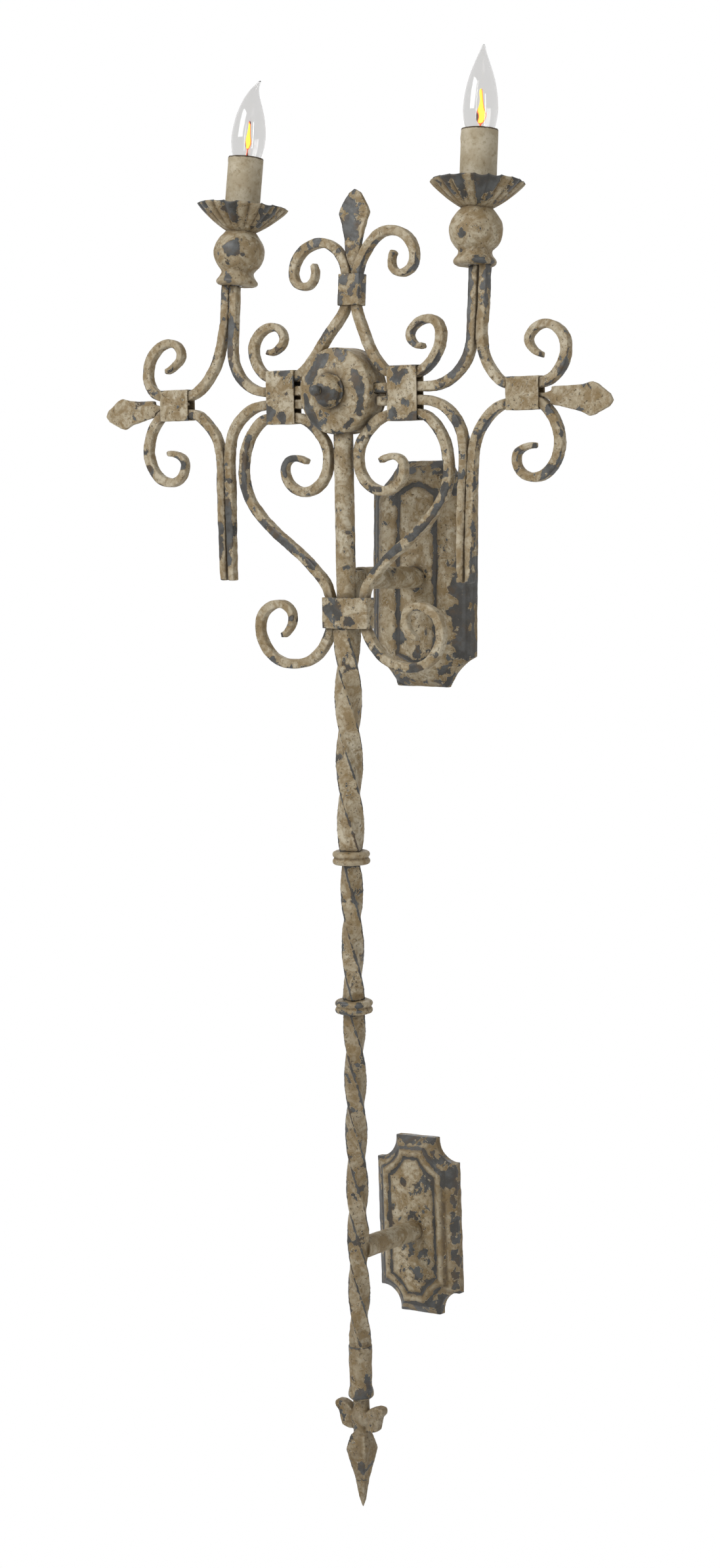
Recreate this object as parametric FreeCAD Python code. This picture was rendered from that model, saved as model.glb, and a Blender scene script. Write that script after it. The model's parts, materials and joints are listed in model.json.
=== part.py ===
import FreeCAD, Part
import math
import os

# Torch sconce: a hand-forged wall light with two candle arms on a long twisted shaft.
# Millimetres, +Z up, +X to the viewer's right, the front faces -Y and the wall is the plane Y = 0.
# The origin is the centre of the wall bar's hole pattern, on the wall.
# The ironwork is drawn in its own frame: X and Z as above, Z along the shaft, with zero at the
# middle of the bottom band, on the shaft's axis. stand() then leans it off the wall.

V = FreeCAD.Vector
X_AXIS = V(1, 0, 0)
Y_AXIS = V(0, 1, 0)
Z_AXIS = V(0, 0, 1)

# Where the ironwork stands
WALL_GAP = 120.0            # shaft axis to wall at the bottom band
WALL_BAR_Z = 32.0           # the wall bar's centre above the bottom band
SHAFT_LEAN = 2.1            # degrees, the top leans off the wall
UPPER_BEND = 5.0            # degrees, the bars above the straps bend back
SWAY = 1.4e-4               # the scrollwork drifts to +X with the square of height, per mm
SWAY_ZERO_Z = 110.0
SWAY_END_Z = 252.0          # above this the drift stays as it is

# Forged bars and straps
BAR = 8.0
TIP = 4.6
BLUNT_TIP = 6.2
TIP_TAPER = 60.0
STRAP = 1.2
STRAP_PLAY = 0.3
BAND_PLAY = 0.9
INNER_STRAP_X = 62.6
INNER_STRAP_LENGTH = 29.6
SIDE_STRAP_X = 178.8
SIDE_STRAP_LENGTH = 31.0
FINIAL_DROOP = 5.6          # degrees, the side finials hang
FINIAL_NECK = 7.5
FINIAL_T = 4.0
FLEUR_Z = 197.5
ARM_Z = 185.4
DROP_Z = 174.6
HEART_Z = 163.5
SIDE_ARM_Z = 184.8
SIDE_DROP_Z = 169.2
ARM_X = {-1: 120.5, 1: 125.0}       # the inner arms' uprights, left and right
ARM_TOP_Z = {-1: 277.0, 1: 280.3}
CANDLE_X = {-1: 118.9, 1: 124.8}    # the candles stand a little off their arms
ARM_PAIR_GAP = {-1: 0.6, 1: 2.0}
DROP_PAIR_GAP = 0.6
ARM_BEND_R = 39.0
ARM_CURL_DRIFT = 2.0
ARM_RISE_DRIFT = {-1: -0.4, 1: 3.6}
DROP_BEND_R = 41.0
DROP_FOOT_Z = 26.0
DROP_FOOT_X = {-1: 121.8, 1: 114.8}
DROP_HIP_X = 121.1
FLEUR_NECK_X = 4.9
FLEUR_DRIFT = 4.2           # how far the fleur leans to +X by the top strap
FLEUR_CURL_DRIFT = {-1: (1.2, -2.0), 1: (0.3, 4.4)}
HEART_WAIST_X = 17.4
BAND_HALF_HEIGHT = 13.0

# Shaft
PIPE_R = 8.25
PIPE_BORE_R = 6.0
PIPE_TOP_Z = 163.0
LEAD_R = 1.9                # the supply lead, up the pipe
LEAD_TURN_R = 6.0
ARM_BORE_R = 2.3            # the wire way through each inner arm
ARM_LEAD_R = 1.2
UPPER_BAR = 17.0
UPPER_BAR_PHASE = -16.7     # degrees, its twist starts late
LOWER_BAR = 14.2
COLLAR_Z = (-206.9, -334.9)
COLLAR_HEIGHT = 11.4
COLLAR_R = 16.0
FERRULE_TOP_Z = -632.0
FERRULE_BEAD_Z = -675.0
SPEAR_WAIST_Z = -711.0
SPEAR_SHOULDER_Z = -724.5
SPEAR_TIP_Z = -777.0
SPEAR_NECK_R = 7.2
LEAF_REACH = 25.5
LEAF_T = 9.0

# Rosette that covers the wiring joint
ROSETTE_Z = 184.0
ROSETTE_R = 35.6
ROSETTE_RIM_Y = -12.6
ROSETTE_DOME = 5.5          # the face stands proud of its rim in the middle
ROSETTE_BACK_Y = 14.0
ROSETTE_WALL = 1.6
ROSETTE_BACK_T = 2.2
KNOB_R = 13.8
KNOB_TIP_R = 4.6
KNOB_TIP_REACH = 20.0       # from the knob's foot
STUD_R = 3.0
STUD_PLAY = 0.05

# Candle, heights above the candle's foot
FOOT_R = 17.8
WAIST_R = 13.6
BALL_R = 21.8
BALL_Z = 28.0
NECK_R = 12.4
NECK_Z = 46.0
RIM_R = 38.8
RIM_Z = 68.6
SLEEVE_R = 14.95
SLEEVE_BORE_R = 13.9
SLEEVE_FOOT_Z = 50.6
SLEEVE_TOP_Z = 108.0
CAP_R = 5.9
CAP_FOOT_Z = 78.5
CAP_TOP_Z = 95.0
NIPPLE_R = 4.75
NIPPLE_BORE_R = 3.0
NIPPLE_TOP_Z = 58.0
SOCKET_R = 10.0
SOCKET_BORE_R = 6.3
SOCKET_TOP_Z = 94.6
GLASS_WALL = 0.7
CANDLE_LEAN = {-1: 3.5, 1: 0.2}     # degrees towards +X
SLEEVE_SHIFT = {-1: -0.6, 1: 0.0}   # a sleeve hangs loose round its socket
GLASS_LEAN = {-1: 1.0, 1: 0.0}      # the left glass sits crooked on its cap
BULB_R = {-1: 15.2, 1: 14.8}
BULB_WIDEST_Z = 123.5
BULB_TIP_Z = {-1: 172.5, 1: 175.5}
TIP_BEND = {-1: 7.0, 1: 0.8}        # how far a bulb's tip bends to +X

# Wall plates
# bite is how deep a corner's notch goes, as a share of its side: 0.5 is a straight cut
UPPER_PLATE = dict(half_w=53.5, half_h=98.0, notch=27.0, bite=0.595, rim=5.5, depth=19.5, inset=19.0)
LOWER_PLATE = dict(half_w=42.2, half_h=79.0, notch=21.0, bite=0.74, rim=7.4, depth=17.0, inset=12.2)
UPPER_PLATE_X = -1.5
PLATE_WALL = 1.8
FLANK_STEPS = 6
LOWER_PLATE_X = -1.7
LOWER_PLATE_Z = -575.5
LOWER_PLATE_TURN = -2.5     # degrees about Y, its right side rides higher
SCREW_HOLE_R = 3.25
SCREW_HOLE = (-9.0, 38.5)
STANDOFF_Z = -3.0
UPPER_STANDOFF_R = (9.3, 9.6)       # in front, at the plate
LOWER_STANDOFF_R = (9.4, 8.8)
LOWER_STANDOFF_DROP = 3.5   # below the lower plate's middle
STANDOFF_BORE_R = 4.2
LUG_HALF_W = 8.0
LUG_BACK_Y = 17.0
LUG_TOP_Z = 35.0
LUG_BORE_R = 4.2
WALL_BAR_SPACING = 88.9
WALL_BAR_HALF_H = 57.0
WALL_BAR_HALF_W = 9.0
WALL_BAR_T = 2.4
WALL_SLOT_R = 2.4
WALL_SLOT_LENGTH = 14.0
PLATE_NIPPLE_R = 4.75
PLATE_NIPPLE_BORE_R = 3.2
NUT_FLATS = 14.0
NUT_HEIGHT = 3.4

# Centrelines of one side's forged bars (the right side), as bent points (x, z).
FLEUR_POINTS = [
    (80, 219), (70, 220.5), (65, 228), (69, 236), (79, 240), (91, 235.5), (96, 224), (92.5, 211),
    (85, 202), (77.4, FLEUR_Z), (62.6, FLEUR_Z), (47.8, FLEUR_Z), (38.5, 203.5), (25.5, 219.5),
    (15.5, 235), (8, 247), (FLEUR_NECK_X, 256), (FLEUR_NECK_X, 267), (FLEUR_NECK_X, 278)]
FLEUR_CURL_POINTS = [
    (8.5, 290), (17, 301), (30, 308.5), (45, 308), (57, 300), (62, 289), (60, 279), (51, 274),
    (43, 276), (39.5, 283), (42, 292)]
HEART_POINTS = [
    (70, -20), (60, -11), (59, -1), (66, 5.5), (77, 6), (88, 0), (93.5, -11), (92, -24), (83.5, -36.6),
    (69.3, -43.6), (55, -44), (40, -40), (28.5, -31), (21, -20), (HEART_WAIST_X, -11),
    (HEART_WAIST_X, 0), (HEART_WAIST_X, 11), (21.5, 23), (30.5, 33.6), (43.6, 45.4), (57.8, 56),
    (74.6, 68.4), (88.5, 81), (100, 96), (105.5, 113), (105, 128), (101, 143), (92, 155.5),
    (84.5, 161.5), (77.4, HEART_Z), (62.6, HEART_Z), (47.8, HEART_Z), (33, 157.5), (24, 149),
    (17, 138.5), (15.5, 127), (18, 116), (25.5, 106.5), (40, 101), (54, 105.5), (61, 116.5),
    (59.5, 125.5), (52, 129.5), (43.5, 128.5), (37.5, 126)]
ARM_CURL_POINTS = [
    (193, 206.5), (184, 211), (178.3, 219), (182, 227), (190.5, 231), (201, 229), (211, 220),
    (214, 209), (211.3, 197), (204.5, 188.8)]
ARM_RISE_POINTS = [
    (194.5, SIDE_ARM_Z), (178.8, SIDE_ARM_Z), (163, SIDE_ARM_Z), (152, 190.5), (142, 201),
    (135, 214), (131.3, 230)]
DROP_OUTER_POINTS = [
    (189, 135.5), (179, 134.5), (171.5, 129), (171.5, 121), (177, 113.5), (188, 110.5), (199, 114),
    (207, 122.5), (211.5, 135), (210.2, 147), (205, 158.5), (199, 165.5), (194.5, SIDE_DROP_Z),
    (178.8, SIDE_DROP_Z), (163, SIDE_DROP_Z), (155, 167.5), (146.5, 161.5), (137, 151), (131.5, 139)]


# ---- frames -------------------------------------------------------------------------------------

def sway(z):
    return SWAY * (min(z, SWAY_END_Z) - SWAY_ZERO_Z) ** 2


def drift(points, axis, start, end, dx, dz=0.0):
    """Hand bending: points move by up to (dx, dz) as they pass from start to end, axis 0 being
    sideways and 1 upwards."""
    moved = []
    for point in points:
        t = min(max((point[axis] - start) / (end - start), 0.0), 1.0)
        moved.append((point[0] + dx * t, point[1] + dz * t))
    return moved


def stand(shape):
    """From the ironwork's own frame to the wall's: lean off the wall, then move out from it."""
    shape.rotate(V(0, 0, 0), X_AXIS, SHAFT_LEAN)
    shape.translate(V(0, -WALL_GAP, -WALL_BAR_Z))
    return shape


def bend_back(shape, pivot_z):
    shape.rotate(V(0, 0, pivot_z), X_AXIS, -UPPER_BEND)
    return shape


def place_candle(shape, side):
    """From a candle's own frame, foot at zero and axis up, onto its arm."""
    shape.rotate(V(0, 0, 0), Y_AXIS, CANDLE_LEAN[side])
    shape.translate(V(side * CANDLE_X[side] + sway(ARM_TOP_Z[side]), 0, ARM_TOP_Z[side]))
    return stand(bend_back(shape, ARM_Z))


def save(name, shape):
    shape.exportStep("parts/" + name + ".step")
    print(name, len(shape.Solids), round(shape.Volume), shape.isValid())


# ---- shapes -------------------------------------------------------------------------------------

def box(x, y, z):
    """A block between two limits on each axis."""
    return Part.makeBox(x[1] - x[0], y[1] - y[0], z[1] - z[0], V(x[0], y[0], z[0]))


def rod(radius, start, end):
    start = V(*start)
    reach = V(*end) - start
    return Part.makeCylinder(radius, reach.Length, start, reach)


def turned(profile):
    """Spin an outline of (radius, height) points about Z."""
    wire = Part.makePolygon([V(r, 0, z) for r, z in profile + profile[:1]])
    return Part.Face(wire).revolve(V(0, 0, 0), Z_AXIS, 360)


def turned_smooth(outside, inside):
    """Spin a section with a smooth outside, drawn upwards, and a straight-sided inside, downwards."""
    skin = Part.BSplineCurve()
    skin.interpolate([V(r, 0, z) for r, z in outside])
    corners = [V(r, 0, z) for r, z in [outside[-1]] + inside + [outside[0]]]
    edges = [skin.toShape()] + list(Part.makePolygon(corners).Edges)
    return Part.Face(Part.Wire(edges)).revolve(V(0, 0, 0), Z_AXIS, 360)


def spline_edge(points):
    curve = Part.BSplineCurve()
    curve.interpolate(points)
    return curve.toShape()


def bar_width(along, length, tips):
    """Full width along most of a bar, drawn out evenly towards each tip that has a width."""
    width = BAR
    for tip, distance in zip(tips, (along, length - along)):
        if tip and distance < TIP_TAPER:
            width = tip + (BAR - tip) * distance / TIP_TAPER
    return width


def forged_bar(points, tips=(None, None)):
    """A square bar bent along (x, z) points; tips gives the width of its drawn-out ends."""
    spine = Part.BSplineCurve()
    spine.interpolate([V(x, 0, z) for x, z in points])
    length = spine.length()
    count = max(12, round(length / 5))
    sides = ([], [])
    for i in range(count + 1):
        along = length * i / count
        u = spine.parameterAtDistance(along, spine.FirstParameter)
        centre = spine.value(u)
        tangent = spine.tangent(u)[0]
        half = V(-tangent.z, 0, tangent.x) * bar_width(along, length, tips) / 2
        sides[0].append(centre + half)
        sides[1].append(centre - half)
    end_cap = Part.makeLine(sides[0][-1], sides[1][-1])
    start_cap = Part.makeLine(sides[1][0], sides[0][0])
    far_side = spline_edge(list(reversed(sides[1])))
    outline = Part.Wire([spline_edge(sides[0]), end_cap, far_side, start_cap])
    bar = Part.Face(outline).extrude(V(0, BAR, 0))
    bar.translate(V(0, -BAR / 2, 0))
    return bar


def on_side(points, side):
    return [(side * x + sway(z), z) for x, z in points]


def twisted_bar(size, bottom, top, quarter_turn, phase=0.0):
    """A square bar twisted to the left, as a smooth loft through turned squares."""
    steps = math.ceil((top - bottom) / quarter_turn * 6)
    corners = [(1, 1), (-1, 1), (-1, -1), (1, -1), (1, 1)]
    squares = []
    for i in range(steps + 1):
        z = top - (top - bottom) * i / steps
        square = Part.makePolygon([V(cx * size / 2, cy * size / 2, z) for cx, cy in corners])
        square.rotate(V(0, 0, 0), Z_AXIS, phase + 90.0 * (top - z) / quarter_turn)
        squares.append(square)
    return Part.makeLoft(squares, True, True)


def strap(centre_x, centre_z, length, inner_height, inner_depth, upright=False):
    """A flat strap wrapped round bars that run along X, or along Z where upright."""
    outer = (length / 2, inner_depth / 2 + STRAP, inner_height / 2 + STRAP)
    inner = (length / 2 + 1, inner_depth / 2, inner_height / 2)
    blocks = [box((-a, a), (-b, b), (-c, c)) for a, b, c in (outer, inner)]
    ring = blocks[0].cut(blocks[1])
    if upright:
        ring.rotate(V(0, 0, 0), Y_AXIS, 90)
    ring.translate(V(centre_x + sway(centre_z), 0, centre_z))
    return ring


# ---- shaft --------------------------------------------------------------------------------------

def make_shaft():
    lead_hole = rod(LUG_BORE_R, (0, 0, WALL_BAR_Z + STANDOFF_Z), (0, 20, WALL_BAR_Z + STANDOFF_Z))
    pipe = rod(PIPE_R, (0, 0, -BAND_HALF_HEIGHT), (0, 0, PIPE_TOP_Z))
    pipe = pipe.cut(rod(PIPE_BORE_R, (0, 0, -2), (0, 0, PIPE_TOP_Z + 1))).cut(lead_hole)
    save("shaft_pipe", stand(pipe))
    half = COLLAR_HEIGHT / 2
    spans = [
        ("twist_upper", UPPER_BAR, -BAND_HALF_HEIGHT, COLLAR_Z[0] + half, 54.0, UPPER_BAR_PHASE),
        ("twist_middle", LOWER_BAR, COLLAR_Z[0] - half, COLLAR_Z[1] + half, 49.0, 40),
        ("twist_lower", LOWER_BAR, COLLAR_Z[1] - half, FERRULE_TOP_Z, 46.5, 60)]
    for name, size, top, bottom, quarter_turn, phase in spans:
        save(name, stand(twisted_bar(size, bottom, top, quarter_turn, phase)))
    for name, z in zip(("collar_upper", "collar_lower"), COLLAR_Z):
        ring_r = COLLAR_R - half / 2
        rings = Part.makeTorus(ring_r, half / 2, V(0, 0, z + half / 2)).fuse(
            Part.makeTorus(ring_r, half / 2, V(0, 0, z - half / 2)))
        collar = rings.fuse(rod(ring_r, (0, 0, z - half), (0, 0, z + half)))
        save(name, stand(collar))


def make_spear():
    ferrule = turned([(0, FERRULE_TOP_Z), (10.2, FERRULE_TOP_Z), (9.6, FERRULE_BEAD_Z + 7),
                      (11, FERRULE_BEAD_Z + 2), (11, FERRULE_BEAD_Z - 2),
                      (8, FERRULE_BEAD_Z - 5), (0, FERRULE_BEAD_Z - 5)])
    save("ferrule", stand(ferrule))
    neck = rod(SPEAR_NECK_R, (0, 0, SPEAR_WAIST_Z), (0, 0, FERRULE_BEAD_Z - 5))
    sizes = [(14.0, SPEAR_WAIST_Z), (20.4, SPEAR_SHOULDER_Z), (9.4, SPEAR_TIP_Z + 26),
             (5.0, SPEAR_TIP_Z + 8), (1.2, SPEAR_TIP_Z)]
    corners = [(1, 1), (-1, 1), (-1, -1), (1, -1), (1, 1)]
    squares = [Part.makePolygon([V(cx * s / 2, cy * s / 2, z) for cx, cy in corners])
               for s, z in sizes]
    save("spear", stand(Part.makeLoft(squares, True, True).fuse(neck)))
    leaf_points = [(SPEAR_NECK_R, -691), (8.4, -689.3), (12.7, -685.6), (17.7, -684), (24, -684),
                   (LEAF_REACH, -686), (24.8, -690), (21.3, -693.5), (20, -700), (18, -705.5),
                   (12.7, -707), (SPEAR_NECK_R, -707), (SPEAR_NECK_R, -691)]
    outline = Part.makePolygon([V(x, -LEAF_T / 2, z) for x, z in leaf_points])
    leaf = Part.Face(outline).extrude(V(0, LEAF_T, 0))
    leaf = leaf.cut(rod(SPEAR_NECK_R, (0, 0, -720), (0, 0, -680)))
    other = leaf.mirror(V(0, 0, 0), X_AXIS)
    save("spear_leaves", stand(Part.makeCompound([leaf, other])))


# ---- scrollwork ---------------------------------------------------------------------------------

def arm_path(side):
    """The inner arm: level from the rosette, one round bend, then up to the candle."""
    start_x = ROSETTE_R - 6
    arc_c = (ARM_X[side] - ARM_BEND_R, ARM_Z + ARM_BEND_R)
    diagonal = ARM_BEND_R * math.sqrt(0.5)
    points = [(start_x, ARM_Z), (arc_c[0], ARM_Z), (arc_c[0] + diagonal, arc_c[1] - diagonal),
              (ARM_X[side], arc_c[1]), (ARM_X[side], ARM_TOP_Z[side])]
    shift = sway(ARM_TOP_Z[side])
    a, b, c, d, e = [V(side * x + shift, 0, z) for x, z in points]
    return Part.Wire([Part.makeLine(a, b), Part.Arc(b, c, d).toShape(), Part.makeLine(d, e)])


def swept(path, section_wire):
    return path.makePipeShell([section_wire], True, False, 2)


def square_section(path, size):
    start = path.OrderedVertexes[0].Point
    half = size / 2
    corners = [(-half, -half), (half, -half), (half, half), (-half, half), (-half, -half)]
    return Part.makePolygon([V(start.x, y, start.z + z) for y, z in corners])


def round_section(path, radius):
    start = path.OrderedVertexes[0].Point
    return Part.Wire(Part.makeCircle(radius, start, X_AXIS))


def make_arms():
    leads = []
    for side, name in ((-1, "left"), (1, "right")):
        path = arm_path(side)
        arm = swept(path, square_section(path, BAR)).cut(swept(path, round_section(path, ARM_BORE_R)))
        save("arm_inner_" + name, stand(bend_back(arm, ARM_Z)))
        lead = swept(path, round_section(path, ARM_LEAD_R))
        end = (side * ARM_X[side] + sway(ARM_TOP_Z[side]), 0, ARM_TOP_Z[side])
        lead = lead.fuse(rod(ARM_LEAD_R, end, (end[0], 0, end[2] + 4)))
        leads.append(stand(bend_back(lead, ARM_Z)))
        leads.append(place_candle(rod(ARM_LEAD_R, (0, 0, 1), (0, 0, NIPPLE_TOP_Z + 2)), side))
        upright = ARM_X[side] + BAR + ARM_PAIR_GAP[side]
        curl = drift(on_side(ARM_CURL_POINTS, side), 1, 190, 222, ARM_CURL_DRIFT)
        rise = drift(on_side(ARM_RISE_POINTS, side), 1, 188, 235, ARM_RISE_DRIFT[side])
        rise += on_side([(upright, z) for z in (246, 260, ARM_TOP_Z[side] - 0.5)], side)
        arm = forged_bar(curl + rise, (TIP, None))
        save("arm_outer_" + name, stand(bend_back(arm, SIDE_ARM_Z)))
    joined = [leads[i].fuse(leads[i + 1]) for i in (0, 2)]
    save("arm_leads", Part.makeCompound(joined))


def drop_x(z, side):
    """The inner drop bar runs down with a slight lean of its own."""
    top_z = DROP_Z - DROP_BEND_R
    foot_x = DROP_FOOT_X[side]
    return foot_x + (DROP_HIP_X - foot_x) * (z - DROP_FOOT_Z) / (top_z - DROP_FOOT_Z)


def make_drops():
    bend_top = DROP_Z - DROP_BEND_R
    centre_x = DROP_HIP_X - DROP_BEND_R
    level = [(ROSETTE_R + 0.4, DROP_Z), (48, DROP_Z), (62.6, DROP_Z), (77.4, DROP_Z)]
    for degrees in (75, 50, 25, 0):
        a = math.radians(degrees)
        level.append((centre_x + DROP_BEND_R * math.cos(a), bend_top + DROP_BEND_R * math.sin(a)))
    offset = BAR + DROP_PAIR_GAP
    for side, name in ((-1, "left"), (1, "right")):
        down = [(drop_x(z, side), z) for z in (110, 80, 52, DROP_FOOT_Z)]
        inner = forged_bar(on_side(level + down, side), (None, BLUNT_TIP))
        save("drop_inner_" + name, stand(inner))
        beside = [(drop_x(125, side) + offset, 125)] + [(x + offset, z) for x, z in down]
        outer = forged_bar(on_side(DROP_OUTER_POINTS + beside, side), (TIP, BLUNT_TIP))
        save("drop_outer_" + name, stand(outer))


def make_hearts_and_fleurs():
    for side, name in ((-1, "left"), (1, "right")):
        heart = forged_bar(on_side(HEART_POINTS, side), (TIP, TIP))
        save("heart_bar_" + name, stand(heart))
        stem = drift(on_side(FLEUR_POINTS, side), 1, 222, 252, FLEUR_DRIFT)
        curl = on_side([(x + side * FLEUR_DRIFT, z) for x, z in FLEUR_CURL_POINTS], side)
        reach = side * 28
        curl = drift(curl, 0, side * 14, reach, *FLEUR_CURL_DRIFT[side])
        fleur = forged_bar(stem + curl, (TIP, TIP))
        save("fleur_bar_" + name, stand(bend_back(fleur, FLEUR_Z)))


def finial(start, tongue_end, neck, shoulder, reach, half_tongue, half_width):
    """A flat spade along +Z: tongue, neck, widest at the shoulder, blunt point."""
    side = [(half_tongue, start), (half_tongue, tongue_end), (FINIAL_NECK * 0.5, tongue_end + 6.5),
            (FINIAL_NECK * 0.9, neck - 4), (FINIAL_NECK, neck), (FINIAL_NECK + 0.8, neck + 8),
            (half_width - 3, shoulder - 9), (half_width, shoulder - 1),
            (half_width - 1.5, shoulder + 4), (half_width * 0.35, reach - 3)]
    points = side + [(0, reach)] + [(-x, z) for x, z in reversed(side)]
    wire = Part.makePolygon([V(x, -FINIAL_T / 2, z) for x, z in points + points[:1]])
    return Part.Face(wire).extrude(V(0, FINIAL_T, 0))


def make_finials():
    top = finial(256, 283, 300, 331, 350, 0.7, 15.0)
    top.translate(V(sway(267) + FLEUR_DRIFT, 0, 0))
    save("finial_top", stand(bend_back(top, FLEUR_Z)))
    mid_z = (SIDE_ARM_Z + SIDE_DROP_Z) / 2
    for side, name in ((-1, "left"), (1, "right")):
        blade = finial(166, 197, 208, 241, 260, 1.6, 13.6)
        blade.rotate(V(0, 0, 0), Y_AXIS, 90 * side)
        blade.translate(V(sway(mid_z), 0, mid_z))
        blade.rotate(V(side * SIDE_STRAP_X, 0, mid_z), Y_AXIS, side * FINIAL_DROOP)
        save("finial_" + name, stand(blade))


def make_straps():
    depth = BAR + 2 * STRAP_PLAY
    inner_mid = (FLEUR_Z + HEART_Z) / 2
    inner_height = FLEUR_Z - HEART_Z + BAR + 2 * STRAP_PLAY
    side_mid = (SIDE_ARM_Z + SIDE_DROP_Z) / 2
    side_height = SIDE_ARM_Z - SIDE_DROP_Z + BAR + 2 * STRAP_PLAY
    for side, name in ((-1, "left"), (1, "right")):
        ring = strap(side * INNER_STRAP_X, inner_mid, INNER_STRAP_LENGTH, inner_height, depth)
        save("inner_strap_" + name, stand(ring))
        ring = strap(side * SIDE_STRAP_X, side_mid, SIDE_STRAP_LENGTH, side_height, depth)
        save("side_strap_" + name, stand(ring))
    top_width = 2 * FLEUR_NECK_X + BAR + 4 * STRAP_PLAY
    ring = strap(FLEUR_DRIFT, 267, 26, top_width, depth, upright=True)
    save("top_strap", stand(bend_back(ring, FLEUR_Z)))
    save("bottom_band", stand(bottom_band()))


def bottom_band():
    """An open band: round the fronts of both heart bars, bulging forward over the pipe."""
    half = BAR / 2 + BAND_PLAY
    left = sway(0) - HEART_WAIST_X - half
    right = sway(0) + HEART_WAIST_X + half
    bulge = -PIPE_R - 0.4
    section = [(left, 2 * BAR), (left, -half), (-7.4, bulge + 0.4), (0, bulge), (7.4, bulge + 0.4),
               (right, -half), (right, 2 * BAR)]
    wire = Part.makePolygon([V(x, y, -BAND_HALF_HEIGHT) for x, y in section + section[:1]])
    inner = Part.Face(wire)
    outer = inner.makeOffset2D(STRAP)
    height = V(0, 0, 2 * BAND_HALF_HEIGHT)
    band = outer.extrude(height).cut(inner.extrude(height))
    return band.common(box((-60, 60), (-30, half), (-20, 20)))


# ---- rosette ------------------------------------------------------------------------------------

def along_y(shape, z):
    """Lay a turned shape's axis along the front-to-back line, its +Z end to the front."""
    shape.rotate(V(0, 0, 0), X_AXIS, 90)
    shape.translate(V(0, 0, z))
    return shape


def make_rosette():
    rim, back = -ROSETTE_RIM_Y, -ROSETTE_BACK_Y
    front = rim + ROSETTE_DOME
    cover_back = back + ROSETTE_BACK_T + 0.2
    face = [(STUD_R + 0.4, front), (KNOB_R + 1, front - 0.4), (24, front - 2.2), (30, rim + 1.5)]
    outside = face + [(ROSETTE_R - 1.2, rim), (ROSETTE_R, rim - 1.2), (ROSETTE_R, cover_back)]
    inside = [(ROSETTE_R - ROSETTE_WALL, cover_back), (ROSETTE_R - ROSETTE_WALL, rim - 2)]
    inside += [(r, z - ROSETTE_WALL) for r, z in reversed(face)]
    cover = turned(outside + inside)
    cover = along_y(cover, ROSETTE_Z)
    slot = BAR / 2 + 0.35
    rear = ROSETTE_BACK_Y + 1
    cover = cover.cut(box((-60, 60), (-slot, rear), (ARM_Z - slot, ARM_Z + slot)))
    cover = cover.cut(box((-PIPE_R - 0.4, PIPE_R + 0.4), (-PIPE_R - 0.4, rear), (130, 170)))
    save("rosette_cover", stand(cover))
    plate = along_y(rod(ROSETTE_R, (0, 0, back), (0, 0, back + ROSETTE_BACK_T)), ROSETTE_Z)
    pad = box((-5, 5), (PIPE_R - 0.2, ROSETTE_BACK_Y - 1), (PIPE_TOP_Z - 9, PIPE_TOP_Z))
    pad = pad.cut(rod(PIPE_R, (0, 0, 100), (0, 0, 200)))
    plate = plate.fuse(pad)
    for side in (-1, 1):
        rest = box((29.8, 33.6), (BAR / 2, ROSETTE_BACK_Y - 1), (ARM_Z - 3, ARM_Z + 3))
        if side < 0:
            rest = rest.mirror(V(0, 0, 0), X_AXIS)
        plate = plate.fuse(rest)
    save("rosette_back", stand(plate))
    stud = along_y(rod(STUD_R, (0, 0, back + ROSETTE_BACK_T), (0, 0, front + 8)), ROSETTE_Z)
    save("rosette_stud", stand(stud))
    bore = STUD_R + STUD_PLAY
    foot = front + 0.1
    base = [(bore, foot), (KNOB_R + 0.8, foot), (KNOB_R + 0.8, foot + 1.5)]
    dome = [(KNOB_R - 0.3, foot + 2.2), (KNOB_R - 0.6, foot + 5.6), (11.4, foot + 9.4), (8.4, foot + 12.1),
            (5, foot + 13.7), (3.4, foot + 14.2), (3.4, foot + 16.5), (0, foot + 16.5)]
    knob = turned(base + dome + [(0, foot + 8.3), (bore, foot + 8.3)])
    knob = knob.fuse(Part.makeSphere(KNOB_TIP_R, V(0, 0, foot + KNOB_TIP_REACH)))
    save("rosette_knob", stand(along_y(knob, ROSETTE_Z)))


# ---- candles ------------------------------------------------------------------------------------

def cup():
    outside = [(FOOT_R - 2, 0), (FOOT_R, 3), (WAIST_R + 1.2, 7.5), (WAIST_R, 11), (WAIST_R + 3.5, 15.5),
               (BALL_R - 1.4, 21), (BALL_R, BALL_Z), (BALL_R - 1.6, 35.5), (BALL_R - 6, 42),
               (NECK_R, NECK_Z)]
    inside = [(NIPPLE_R + 0.3, NECK_Z), (NIPPLE_R + 0.3, NECK_Z - 2), (9.5, NECK_Z - 2.4), (17, 37),
              (19.4, BALL_Z), (16, 19), (11, 13), (11, 2), (NIPPLE_R + 0.3, 2), (NIPPLE_R + 0.3, 0)]
    return turned_smooth(outside, inside)


def bobeche():
    """A fluted dish is drawn plain here, with its true rim and hub."""
    return turned([(NIPPLE_R + 0.3, NECK_Z), (NECK_R, NECK_Z), (16, NECK_Z + 2.4), (24, NECK_Z + 8),
                   (31.5, NECK_Z + 14.5), (RIM_R, RIM_Z - 0.8), (RIM_R, RIM_Z), (RIM_R - 1.4, RIM_Z + 0.4),
                   (30.8, NECK_Z + 15.6), (23.3, NECK_Z + 9.2), (15.4, NECK_Z + 3.6),
                   (NECK_R, NECK_Z + 1.4), (NIPPLE_R + 0.3, NECK_Z + 1.4)])


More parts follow.
